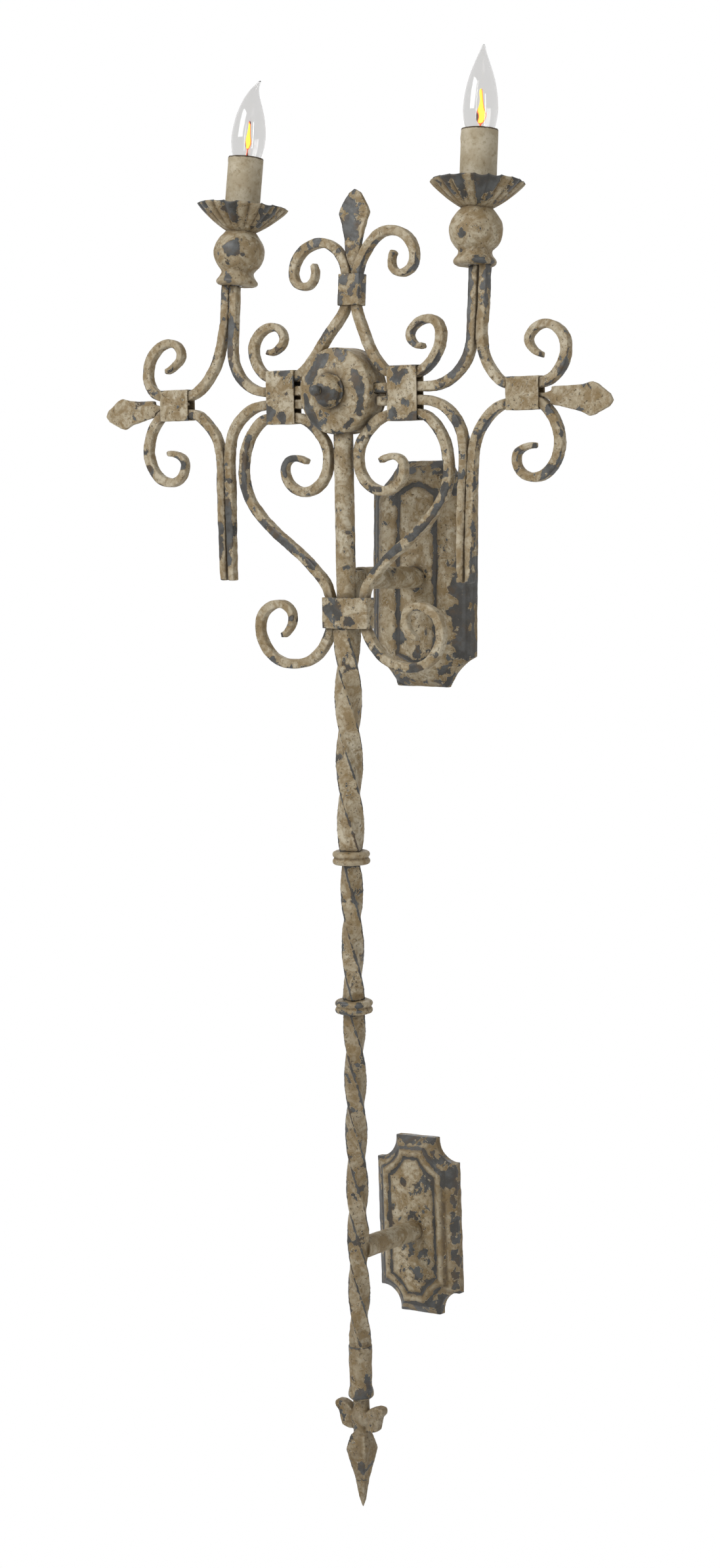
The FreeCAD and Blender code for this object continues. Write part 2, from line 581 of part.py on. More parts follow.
def hex_nut(height, bore_r):
    corner = NUT_FLATS / math.sqrt(3)
    points = [V(corner * math.cos(math.radians(60 * i)), corner * math.sin(math.radians(60 * i)), 0)
              for i in range(7)]
    return Part.Face(Part.makePolygon(points)).extrude(V(0, 0, height)).cut(
        rod(bore_r, (0, 0, -1), (0, 0, height + 1)))


def tube(outer_r, bore_r, bottom, top):
    return turned([(bore_r, bottom), (outer_r, bottom), (outer_r, top), (bore_r, top)])


def sleeve(side):
    shape = tube(SLEEVE_R, SLEEVE_BORE_R, SLEEVE_FOOT_Z, SLEEVE_TOP_Z)
    shape.translate(V(SLEEVE_SHIFT[side], 0, 0))
    return shape


def socket():
    hub = NIPPLE_R + 0.05
    return turned([(hub, 51.5), (7.4, 51.5), (7.4, 59), (SOCKET_R, 60.5), (SOCKET_R, SOCKET_TOP_Z),
                   (SOCKET_BORE_R, SOCKET_TOP_Z), (SOCKET_BORE_R, 76), (2, 76), (2, 62),
                   (hub, NIPPLE_TOP_Z + 1.5)])


# A candle bulb's outline: how far up from its base to its widest, then how far from there to the
# tip, each against its radius as a share of the widest.
BULB_BELOW = [(0.0, 0.40), (0.10, 0.56), (0.32, 0.74), (0.55, 0.87), (0.78, 0.96), (1.0, 1.0)]
BULB_ABOVE = [(0.10, 0.985), (0.22, 0.94), (0.36, 0.86), (0.52, 0.71), (0.66, 0.535), (0.78, 0.37),
              (0.88, 0.22), (0.95, 0.115), (1.0, 0.045)]


def bulb_skin(side, shrink):
    """A flame-shaped bulb as a loft through circles; its last stretch may bend sideways."""
    below = BULB_WIDEST_Z - CAP_TOP_Z
    above = BULB_TIP_Z[side] - BULB_WIDEST_Z
    rings = [(CAP_TOP_Z + t * below, r, 0.0) for t, r in BULB_BELOW]
    rings += [(BULB_WIDEST_Z + t * above, r, max(0.0, (t - 0.7) / 0.3)) for t, r in BULB_ABOVE]
    circles = []
    for z, share, bend in rings:
        radius = max(share * BULB_R[side] - shrink, 0.12)
        tip_inset = shrink * 2 if share < 0.1 else 0.0
        centre = V(TIP_BEND[side] * bend ** 2, 0, z - tip_inset)
        circles.append(Part.Wire(Part.makeCircle(radius, centre)))
    return Part.makeLoft(circles, True, False)


def bulb_glass(side):
    glass = bulb_skin(side, 0).cut(bulb_skin(side, GLASS_WALL))
    glass.rotate(V(0, 0, CAP_TOP_Z), Y_AXIS, GLASS_LEAN[side])
    return glass


def bulb_cap():
    """Screw cap: the thread is three round ridges, with the foot contact below."""
    profile = [(0, CAP_FOOT_Z), (2.4, CAP_FOOT_Z), (2.4, CAP_FOOT_Z + 1.4), (4.6, CAP_FOOT_Z + 2.8)]
    z = CAP_FOOT_Z + 3.6
    for _ in range(4):
        profile += [(CAP_R - 0.6, z), (CAP_R, z + 0.8), (CAP_R, z + 1.4), (CAP_R - 0.6, z + 2.2)]
        z += 2.9
    profile += [(CAP_R, CAP_TOP_Z - 0.8), (CAP_R, CAP_TOP_Z - 0.05), (0, CAP_TOP_Z - 0.05)]
    return turned(profile)


def flame():
    """Two flame-shaped electrode plates close together, each on its own wire."""
    outline = [(0, 113.5), (3.2, 115.6), (4.9, 120), (3.9, 125), (1.9, 130), (1.5, 135), (1.7, 140),
               (0.4, 141.5), (-1.2, 139), (-1.6, 134), (-2.2, 129.5), (-4.4, 124.5), (-4.9, 119),
               (-3.2, 115)]
    solids = []
    for side in (-1, 1):
        y = side * 0.9 - 0.25
        wire = Part.makePolygon([V(x, y, z) for x, z in outline + outline[:1]])
        plate = Part.Face(wire).extrude(V(0, 0.5, 0))
        solids.append(plate.fuse(rod(0.4, (side * 1.6, side * 0.9, CAP_TOP_Z), (0, side * 0.9, 117))))
    return Part.makeCompound(solids)


def make_candles():
    nuts = []
    for side, name in ((-1, "left"), (1, "right")):
        pieces = {
            "candle_cup_": cup(),
            "bobeche_": bobeche(),
            "nipple_": tube(NIPPLE_R, NIPPLE_BORE_R, 0.0, NIPPLE_TOP_Z),
            "socket_": socket(),
            "sleeve_": sleeve(side),
            "bulb_glass_": bulb_glass(side),
            "bulb_cap_": bulb_cap(),
            "flame_": flame()}
        for stem, shape in pieces.items():
            save(stem + name, place_candle(shape, side))
        nut = hex_nut(NUT_HEIGHT, NIPPLE_R + 0.05)
        nut.translate(V(0, 0, NECK_Z + 1.4))
        nuts.append(place_candle(nut, side))
    save("candle_nuts", Part.makeCompound(nuts))


# ---- wall plates --------------------------------------------------------------------------------

def notched_outline(half_w, half_h, notch, bite, y):
    """A rectangle with a round bite out of each corner, in a plane parallel to the wall."""
    edges = []
    diagonal = notch * bite
    corners = [(1, 1), (1, -1), (-1, -1), (-1, 1)]
    for i, (sx, sz) in enumerate(corners):
        on_edge_x = V(sx * (half_w - notch), y, sz * half_h)
        on_edge_z = V(sx * half_w, y, sz * (half_h - notch))
        middle = V(sx * (half_w - diagonal), y, sz * (half_h - diagonal))
        ends = (on_edge_x, on_edge_z) if i % 2 == 0 else (on_edge_z, on_edge_x)
        edges.append(Part.Arc(ends[0], middle, ends[1]).toShape())
        nx, nz = corners[(i + 1) % 4]
        after = (V(nx * half_w, y, nz * (half_h - notch)) if i % 2 == 0
                 else V(nx * (half_w - notch), y, nz * half_h))
        edges.append(Part.makeLine(ends[1], after))
    return Part.Wire(edges)


def plate_block(half_w, half_h, notch, bite, rim, depth, inset, shrink=0.0):
    """Notched rim, sloped flank, flat eight-sided panel in front. Shrunk, it is the plate's hollow,
    which starts just behind the wall plane so that it cuts the back open."""
    w = half_w - shrink
    h = half_h - shrink
    n = notch + shrink * 0.4
    start_y = 1.0 if shrink else 0.0
    flank_y = -rim + shrink * 0.6
    panel_y = -depth + shrink
    edge = Part.Face(notched_outline(w, h, n, bite, start_y)).extrude(V(0, flank_y - start_y, 0))
    layers = []
    for i in range(FLANK_STEPS + 1):
        t = i / FLANK_STEPS
        grow = inset * t
        side = max(n - grow * 0.25, 6)
        y = flank_y + (panel_y - flank_y) * t
        layers.append(notched_outline(w - grow, h - grow * 0.8, side, bite, y))
    return edge.fuse(Part.makeLoft(layers, True, True))


def plate(spec):
    return plate_block(**spec).cut(plate_block(**spec, shrink=PLATE_WALL))


def standoff_cone(front_y, back_y, z, front_r, back_r, bore_r):
    cone = Part.makeCone(back_r, front_r, back_y - front_y, V(0, back_y, z), V(0, -1, 0))
    if bore_r:
        cone = cone.cut(rod(bore_r, (0, front_y - 5, z), (0, back_y + 5, z)))
    return cone


def make_lug():
    lead_z = WALL_BAR_Z + STANDOFF_Z
    lug = box((-LUG_HALF_W, LUG_HALF_W), (0, LUG_BACK_Y), (-BAND_HALF_HEIGHT, LUG_TOP_Z))
    lug = lug.cut(rod(PIPE_R, (0, 0, -50), (0, 0, 60)))
    lug = lug.cut(rod(LUG_BORE_R, (0, 0, lead_z), (0, 40, lead_z)))
    return lug


def make_plates():
    hole = rod(PLATE_NIPPLE_R + 0.4, (0, -60, STANDOFF_Z), (0, 5, STANDOFF_Z))
    upper = plate(UPPER_PLATE)
    upper.translate(V(UPPER_PLATE_X, 0, 0))
    save("upper_plate", upper.cut(hole))
    lower = plate(LOWER_PLATE)
    hole_x, hole_z = SCREW_HOLE
    lower = lower.cut(rod(SCREW_HOLE_R, (hole_x, -60, hole_z), (hole_x, 5, hole_z)))
    lower.rotate(V(0, 0, 0), Y_AXIS, LOWER_PLATE_TURN)
    lower.translate(V(LOWER_PLATE_X, 0, LOWER_PLATE_Z))
    save("lower_plate", lower)

    save("standoff_lug", stand(make_lug()))
    front_y = -WALL_GAP + LUG_BACK_Y - 2
    back_y = -UPPER_PLATE["depth"]
    cone = standoff_cone(front_y, back_y, STANDOFF_Z, *UPPER_STANDOFF_R, STANDOFF_BORE_R)
    socket_hole = rod(PLATE_NIPPLE_R + 0.1, (0, back_y - 14, STANDOFF_Z), (0, 0, STANDOFF_Z))
    in_front_of_lug_back = stand(box((-30, 30), (-30, LUG_BACK_Y), (-60, 90)))
    save("upper_standoff", cone.cut(in_front_of_lug_back).cut(socket_hole))

    arm_z = LOWER_PLATE_Z - LOWER_STANDOFF_DROP
    shaft_z = arm_z + WALL_BAR_Z
    front_y = -WALL_GAP - math.sin(math.radians(SHAFT_LEAN)) * shaft_z + LOWER_BAR / 2 - 1.5
    arm = standoff_cone(front_y, -LOWER_PLATE["depth"], arm_z, *LOWER_STANDOFF_R, 0)
    save("lower_standoff", arm)


def make_wall_fixing():
    half_slot = WALL_SLOT_LENGTH / 2 - WALL_SLOT_R
    bar = box((-WALL_BAR_HALF_W, WALL_BAR_HALF_W), (-WALL_BAR_T, 0), (-WALL_BAR_HALF_H, WALL_BAR_HALF_H))
    for z in (-WALL_BAR_SPACING / 2, WALL_BAR_SPACING / 2):
        for end in (-half_slot, half_slot):
            bar = bar.cut(rod(WALL_SLOT_R, (0, -5, z + end), (0, 5, z + end)))
        bar = bar.cut(box((-WALL_SLOT_R, WALL_SLOT_R), (-5, 5), (z - half_slot, z + half_slot)))
    bar = bar.cut(rod(PLATE_NIPPLE_R + 0.05, (0, -5, STANDOFF_Z), (0, 5, STANDOFF_Z)))
    save("wall_bar", bar)
    end_y = -UPPER_PLATE["depth"] - 12
    nipple = rod(PLATE_NIPPLE_R, (0, end_y, STANDOFF_Z), (0, -0.2, STANDOFF_Z))
    nipple = nipple.cut(rod(PLATE_NIPPLE_BORE_R, (0, end_y - 1, STANDOFF_Z), (0, 1, STANDOFF_Z)))
    fixings = [nipple]
    for y in (-WALL_BAR_T, -UPPER_PLATE["depth"] + PLATE_WALL + NUT_HEIGHT):
        nut = hex_nut(NUT_HEIGHT, PLATE_NIPPLE_R + 0.05)
        nut.rotate(V(0, 0, 0), X_AXIS, 90)
        nut.translate(V(0, y, STANDOFF_Z))
        fixings.append(nut)
    save("plate_fixings", Part.makeCompound(fixings))


def make_supply_lead():
    """In through the wall nipple and the hollow standoff, then up the leaning pipe to the rosette."""
    lean = math.radians(SHAFT_LEAN)
    up = V(0, -math.sin(lean), math.cos(lean))
    lead_z = WALL_BAR_Z + STANDOFF_Z
    corner = V(0, -WALL_GAP - math.tan(lean) * lead_z, STANDOFF_Z)
    turn = LEAD_TURN_R
    reach = turn * math.tan((math.pi / 2 - lean) / 2)
    inward = (up + Y_AXIS).normalize()
    arc_centre = corner + inward * math.hypot(turn, reach)
    top = corner + up * (PIPE_TOP_Z + 4 - lead_z)
    foot = corner + Y_AXIS * reach
    arc = Part.Arc(corner + up * reach, arc_centre - inward * turn, foot).toShape()
    wall_end = V(0, -2, STANDOFF_Z)
    path = Part.Wire([Part.makeLine(top, corner + up * reach), arc, Part.makeLine(foot, wall_end)])
    section = Part.Wire(Part.makeCircle(LEAD_R, top, up))
    save("supply_lead", path.makePipeShell([section], True, False, 2))


def main():
    os.makedirs("parts", exist_ok=True)
    make_shaft()
    make_spear()
    make_arms()
    make_drops()
    make_hearts_and_fleurs()
    make_finials()
    make_straps()
    make_rosette()
    make_candles()
    make_plates()
    make_wall_fixing()
    make_supply_lead()


main()
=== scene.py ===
# %% [markdown]
# # A torch sconce in chipped cream paint
#
# The object is a hand-forged wall light: a scrolled iron head with two candles, a long twisted
# shaft that ends in a spear, and two pressed wall plates on standoffs. Its construction is finished
# elsewhere and comes in as a frame of exact solids. This lesson gives each of those solids its
# look: soft hammered iron, cream paint that has chipped down to slate-grey metal, fluted drip
# pans, glass bulbs with a glowing flame plate inside.
#
# The frame is loaded first. Everything is in metres, at its real size and in its real place.

# %% Load the frame
import json
import math
import random

import bmesh
import bpy
import numpy as np
from mathutils import Matrix, Vector, noise
from mathutils.bvhtree import BVHTree

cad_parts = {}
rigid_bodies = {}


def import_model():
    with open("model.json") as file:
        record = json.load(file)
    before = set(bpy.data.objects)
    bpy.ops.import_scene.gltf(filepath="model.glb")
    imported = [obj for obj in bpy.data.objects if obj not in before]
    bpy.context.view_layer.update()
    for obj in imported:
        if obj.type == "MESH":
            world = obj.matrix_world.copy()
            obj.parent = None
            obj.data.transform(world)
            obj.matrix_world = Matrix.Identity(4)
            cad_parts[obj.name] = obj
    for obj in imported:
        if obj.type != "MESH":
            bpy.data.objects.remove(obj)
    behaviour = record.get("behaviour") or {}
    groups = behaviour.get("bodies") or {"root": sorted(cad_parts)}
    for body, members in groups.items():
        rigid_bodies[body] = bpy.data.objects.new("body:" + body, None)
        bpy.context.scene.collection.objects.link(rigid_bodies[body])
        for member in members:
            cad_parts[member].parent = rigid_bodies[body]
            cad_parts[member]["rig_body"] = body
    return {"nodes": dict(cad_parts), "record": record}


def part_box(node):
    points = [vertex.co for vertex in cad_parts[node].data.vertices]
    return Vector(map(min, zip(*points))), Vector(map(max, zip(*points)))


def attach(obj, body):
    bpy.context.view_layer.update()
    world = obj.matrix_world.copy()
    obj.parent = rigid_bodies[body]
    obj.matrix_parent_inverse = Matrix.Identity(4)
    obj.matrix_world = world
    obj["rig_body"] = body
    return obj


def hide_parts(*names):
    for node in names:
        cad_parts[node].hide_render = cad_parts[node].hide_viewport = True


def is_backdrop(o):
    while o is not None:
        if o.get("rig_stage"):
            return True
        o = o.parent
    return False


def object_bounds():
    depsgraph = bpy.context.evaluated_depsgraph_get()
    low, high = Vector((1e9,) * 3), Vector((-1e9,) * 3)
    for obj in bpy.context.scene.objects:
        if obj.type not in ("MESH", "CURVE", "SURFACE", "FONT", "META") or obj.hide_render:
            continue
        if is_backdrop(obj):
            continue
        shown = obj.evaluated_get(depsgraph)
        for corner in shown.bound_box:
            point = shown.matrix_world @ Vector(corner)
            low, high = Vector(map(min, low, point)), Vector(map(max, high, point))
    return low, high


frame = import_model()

MM = 0.001
SIDES = {"left": -1, "right": 1}
cad_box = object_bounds()
print("the frame holds", len(frame["nodes"]), "solids and is", round(cad_box[1].z - cad_box[0].z, 3), "m tall")

# %% [markdown]
# The ironwork isn't square to the wall: the shaft leans off it by about two degrees, and the two
# candles' arms bend back again. Pieces that are modelled here start in a simple upright frame of
# their own, so one matrix for each candle carries them to their place. A matrix is built from
# right to left: the last one written is the first one that acts.

# %% Where the candles stand
SHAFT_LEAN = math.radians(2.1)
UPPER_BEND = math.radians(5.0)
IRON_ORIGIN = Vector((0.0, -120.0, -32.0)) * MM
ARM_HEIGHT = 185.4 * MM
CANDLE_FOOT = {"left": Vector((-116.077, 0.0, 277.0)) * MM, "right": Vector((127.623, 0.0, 280.3)) * MM}
CANDLE_LEAN = {"left": math.radians(3.5), "right": math.radians(0.2)}


def candle_frame(side):
    """From a candle's own upright frame, foot at zero, to its place on the arm."""
    stand = Matrix.Translation(IRON_ORIGIN) @ Matrix.Rotation(SHAFT_LEAN, 4, "X")
    pivot = Matrix.Translation((0, 0, ARM_HEIGHT))
    bend = pivot @ Matrix.Rotation(-UPPER_BEND, 4, "X") @ pivot.inverted()
    return stand @ bend @ Matrix.Translation(CANDLE_FOOT[side]) @ Matrix.Rotation(CANDLE_LEAN[side], 4, "Y")


for side in SIDES:
    top = candle_frame(side) @ Vector((0, 0, 108 * MM))
    gap = (top - (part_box("sleeve_" + side)[0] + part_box("sleeve_" + side)[1]) / 2).length
    print(side, "candle's rim is", round(gap / MM, 1), "mm from its sleeve's middle")

# %% [markdown]
# ## Forging
#
# Real bars like these have no sharp edge anywhere: the hammer and several coats of paint have
# rounded them. A bevel on every edge would be one way, but a bar that curls tightly makes a bevel
# cross itself. Instead each solid is copied, remeshed into small even cells, and smoothed a few
# times, which rounds every edge alike, as filing does. Then noise pushes the skin in and out for
# the hammer's dents. A copy is used, because the frame's own solids stay as they are.

# %% Blanks, remeshing and dents
def blank(node):
    """A copy of a solid of the frame, its loose triangles merged into one closed skin."""
    bm = bmesh.new()
    bm.from_mesh(frame["nodes"][node].data)
    bmesh.ops.remove_doubles(bm, verts=bm.verts, dist=0.002 * MM)
    return bm


def as_piece(bm, name):
    mesh = bpy.data.meshes.new(name)
    bm.to_mesh(mesh)
    bm.free()
    piece = bpy.data.objects.new(name, mesh)
    bpy.context.collection.objects.link(piece)
    mesh.shade_smooth()
    return piece


def remesh(piece, cell):
    """Even cells all over; cell is their size in metres."""
    piece.data.remesh_voxel_size = cell
    with bpy.context.temp_override(object=piece, active_object=piece):
        bpy.ops.object.voxel_remesh()


def soften(bm, rounds):
    for _ in range(rounds):
        bmesh.ops.smooth_vert(bm, verts=bm.verts, factor=0.5, use_axis_x=True, use_axis_y=True, use_axis_z=True)


def dent(bm, depth, size):
    """Hammer marks: the skin moves along its normal by up to depth, in patches of that size."""
    bm.normal_update()
    for vert in bm.verts:
        p = vert.co / size
        vert.co += vert.normal * depth * (noise.noise(p) + 0.45 * noise.noise(p * 2.7))


def rework(piece, rounds, depth, size):
    bm = bmesh.new()
    bm.from_mesh(piece.data)
    soften(bm, rounds)
    dent(bm, depth, size)
    bm.to_mesh(piece.data)
    bm.free()
    piece.data.shade_smooth()


# %% [markdown]
# ## What the paint knows about the shape
#
# Old paint wears off where a hand or a cloth reaches it, and dirt and brown glaze stay in the
# hollows. So every vertex gets three numbers that the materials read: `ridge` is high on outward
# bends; the second is high in inward bends and next to a neighbouring piece, where it darkens the
# colour, partly as brown glaze and partly as painted shade; and `bare` says how much more, or less,
# paint has come off there than elsewhere.

# %% Measure ridges, hollows and neighbours
RIDGE_RADIUS = 2.5 * MM
SHADE_AND_GRIME_REACH = 6.5 * MM


def vertex_arrays(mesh):
    points = np.empty(len(mesh.vertices) * 3, np.float32)
    mesh.vertices.foreach_get("co", points)
    normals = np.empty(len(mesh.vertices) * 3, np.float32)
    mesh.vertices.foreach_get("normal", normals)
    edges = np.empty(len(mesh.edges) * 2, np.int32)
    mesh.edges.foreach_get("vertices", edges)
    return points.reshape(-1, 3), normals.reshape(-1, 3), edges.reshape(-1, 2)


def neighbour_mean(values, edges, rounds):
    """Each vertex takes the mean of itself and its neighbours, a few times over."""
    a, b = edges.T
    count = np.bincount(edges.ravel(), minlength=len(values)) + 1.0
    for _ in range(rounds):
        total = values + np.bincount(a, values[b], len(values)) + np.bincount(b, values[a], len(values))
        values = total / count
    return values


def bulge(points, normals, edges):
    """How much the skin bends outwards at each vertex: 1 on an edge of RIDGE_RADIUS, below 0 in a hollow."""
    a, b = edges.T
    step = points[b] - points[a]
    length2 = np.maximum((step ** 2).sum(1), 1e-12)
    drop_a = -(normals[a] * step).sum(1) / length2
    drop_b = (normals[b] * step).sum(1) / length2
    total = np.bincount(a, drop_a, len(points)) + np.bincount(b, drop_b, len(points))
    count = np.maximum(np.bincount(edges.ravel(), minlength=len(points)), 1)
    return neighbour_mean(4 * total / count * RIDGE_RADIUS / 2, edges, 3)


def near(box_a, box_b, reach):
    return all(box_a[0][i] < box_b[1][i] + reach and box_b[0][i] < box_a[1][i] + reach for i in range(3))


node_boxes = {name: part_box(name) for name in frame["nodes"]}


def contact_dirt_and_shade(points, normals, own):
    """How close a neighbouring piece is in front of each point: 1 touching it, 0 at the reach's end and beyond.
    It darkens the colour there, partly as brown glaze and partly as painted shade.
    """
    low = Vector(points.min(0).tolist())
    high = Vector(points.max(0).tolist())
    verts, faces = [], []
    for name, box in node_boxes.items():
        if name in own or name.startswith(("bulb_", "flame_")) or not near((low, high), box, SHADE_AND_GRIME_REACH):
            continue
        mesh = frame["nodes"][name].data
        base = len(verts)
        verts += [v.co for v in mesh.vertices]
        faces += [[base + i for i in polygon.vertices] for polygon in mesh.polygons]
    if not faces:
        return np.zeros(len(points))
    tree = BVHTree.FromPolygons(verts, faces)
    closeness = np.zeros(len(points))
    for i, point in enumerate(points):
        hit = tree.find_nearest(Vector(point), SHADE_AND_GRIME_REACH)
        if hit[0] is not None:
            towards = (hit[0] - Vector(point)).normalized()
            facing = min(max(towards.dot(Vector(normals[i])) + 0.55, 0.0), 1.0)
            closeness[i] = (1 - hit[3] / SHADE_AND_GRIME_REACH) * facing
    return closeness


def store(mesh, name, values):
    layer = mesh.attributes.get(name) or mesh.attributes.new(name, "FLOAT", "POINT")
    layer.data.foreach_set("value", np.asarray(values, np.float32))


def stored(mesh, name):
    return np.array([item.value for item in mesh.attributes[name].data])


# %% [markdown]
# Chips aren't spread evenly on the real sconce. The undersides are barer, and some places have
# lost most of their paint: the ends of the drop bars, the middle of the finial, a patch on each
# candle's ball. `SPOTS` lists those by piece: a place in the front view, as millimetres across and
# up, with a reach and an amount. A place may also be a chain of points, for a long streak.

# %% Places that are barer or better kept than the rest
SPOTS = {
    "arm_inner_left": [(((-119, 215), (-118, 176), (-108, 161)), 7, 0.3)],
    "arm_inner_right": [(((124, 262), (124, 205), (122, 179), (112, 163)), 7, 0.42)],
    "arm_outer_right": [((137, 176), 8, 0.4)],
    "bottom_band": [((-13, -30), 8, 0.45), ((-2, -34), 8, 0.45), ((8, -40), 8, 0.45), ((19, -29), 8, -0.3)],
    "candle_cup_left": [((-106, 276), 11, 0.75), ((-99, 269), 4, 0.4), ((-121, 271), 4, 0.4),
        ((-113, 249), 7, 0.4), ((-116, 291), 8, -0.3)],
    "candle_cup_right": [((128, 272), 6, 0.4), ((142, 274), 6, 0.4), ((123, 259), 4, 0.45),
        ((138, 251), 7, 0.4)],
    "drop_inner_left": [(((-122, 60), (-122, 42), (-123, 8)), 8, 0.4)],
    "drop_inner_right": [((117, 127), 9, 0.4)],
    "drop_outer_left": [(((-131, 42), (-132, 14)), 7, 0.3), ((-209, 89), 8, 0.3), ((-170, 94), 8, 0.3)],
    "drop_outer_right": [((204, 84), 8, 0.4)],
    "ferrule": [((6, -705), 9, 0.25)],
    "finial_top": [((3, 305), 7, 0.4), ((10, 280), 5, 0.4), ((2, 290), 6, 0.3)],
    "fleur_bar_left": [((-27, 276), 7, 0.45)],
    "heart_bar_left": [(((-97, 115), (-101, 97), (-103, 82), (-102, 66)), 6.5, 0.42),
        (((-82, 43), (-62, 28), (-46, 18), (-31, 8)), 6.5, 0.4), (((-58, 85), (-60, 94), (-48, 97)), 6, 0.42),
        ((-36, 70), 7, 0.3), ((-55, -38), 6, 0.4), ((-78, -73), 7, 0.4)],
    "heart_bar_right": [(((25, 74), (37, 71)), 7, 0.38),
        (((104, 72), (101, 59), (89, 46), (70, 30)), 6.5, 0.45), (((56, 22), (44, 14), (31, 5)), 6.5, 0.42),
        ((70, -74), 6, 0.4), ((93, -64), 7, 0.4)],
    "inner_strap_left": [((-72, 134), 9, 0.45), ((-60, 131), 8, 0.45), ((-74, 152), 5, 0.3),
        ((-55, 151), 4, 0.3)],
    "inner_strap_right": [((59, 161), 9, 0.45), ((67, 166), 6, 0.4), ((66, 140), 8, 0.4), ((54, 132), 9, 0.45),
        ((74, 129), 5, 0.4), ((56, 148), 6, -0.2)],
    "lower_plate": [((-12, -537), 4.6, 0.9), ((2, -645), 8, 0.4), ((19, -635), 5, -0.3),
        (((30, -540), (31, -575), (33, -632)), 5.5, -0.45), ((-10, -499), 7, 0.4), ((-7, -504), 3, -0.6)],
    "rosette_cover": [(((-8, 178), (-16, 172), (-22, 163)), 8.5, 0.5),
        (((-28, 147), (-26, 138), (-21, 130)), 7, 0.45),
        (((23, 166), (28, 154), (29, 143), (25, 132)), 5, 0.45), (((19, 127), (12, 122)), 4.5, 0.45),
        ((-6, 155), 9, -0.15), ((8, 136), 14, -0.3)],
    "rosette_knob": [((3, 149), 12, 0.45), ((-7, 157), 5, -0.4)],
    "spear": [((6, -770), 7, 0.4)],
    "top_strap": [((3, 243), 6, 0.4)],
    "upper_plate": [((19, -6), 5, 0.45), ((-16, -52), 7, 0.4), ((2, -68), 9, 0.4), ((43, -14), 14, 0.4),
        ((43, -36), 14, 0.4), ((43, -59), 12, 0.4), ((44, -17), 4, -0.5), ((44, -56), 4, -0.5),
        ((-6, 87), 7, 0.3), ((7, 14), 16, -0.25)],
}


def spot_field(points, normals, spots):
    """The spots' amounts at each point: all of it on the front, half on the sides, none on the back."""
    field = np.zeros(len(points))
    seen = points[:, [0, 2]]
    for place, reach, amount in spots:
        chain = np.array(place, dtype=float).reshape(-1, 2) * MM
        distance = np.linalg.norm(seen - chain[0], axis=1)
        for start, end in zip(chain, chain[1:]):
            run = end - start
            share = np.clip((seen - start) @ run / (run @ run), 0, 1)
            distance = np.minimum(distance, np.linalg.norm(seen - start - share[:, None] * run, axis=1))
        t = np.clip(1 - distance / (reach * MM), 0, 1)
        field += amount * t * t * (3 - 2 * t)
    return field * np.clip(0.5 - normals[:, 1], 0, 1)


def note_wear_and_shade(piece, own, level=0.0, under=0.0, edge=0.0, aside=0.0, lean=-1, stain=0.0, extra=None):
    """Write ridge, the darkening number and bare onto a piece; own names the frame's nodes that it stands for.
    The darkening is partly brown glaze and partly painted shade. aside is for the front faces' outer edges, on
    the side that lean says, and stain browns the whole piece."""
    points, normals, edges = vertex_arrays(piece.data)
    bend = bulge(points, normals, edges)
    hollow = np.clip(-bend, 0, 1)
    # Darkening from neighbours in front and from hollows: partly brown glaze, partly painted shade; stain adds
    # a real browning.
    dirt_and_shade = np.clip(contact_dirt_and_shade(points, normals, own) ** 1.2 + 0.9 * hollow + stain, 0, 1)
    bare = level + under * np.clip(-normals[:, 2], 0, 1) + edge * np.clip(bend, 0, 1)
    bare = bare + aside * np.clip(normals @ np.array((0.75 * lean, -0.55, -0.35)), 0, 1) ** 1.5
    for node in own:
        bare = bare + spot_field(points, normals, SPOTS.get(node, []))
    if extra is not None:
        bare = bare + extra(points)
    store(piece.data, "ridge", np.clip(bend, 0, 1))
    store(piece.data, "grime_and_shade", neighbour_mean(dirt_and_shade, edges, 2))
    store(piece.data, "bare", bare)
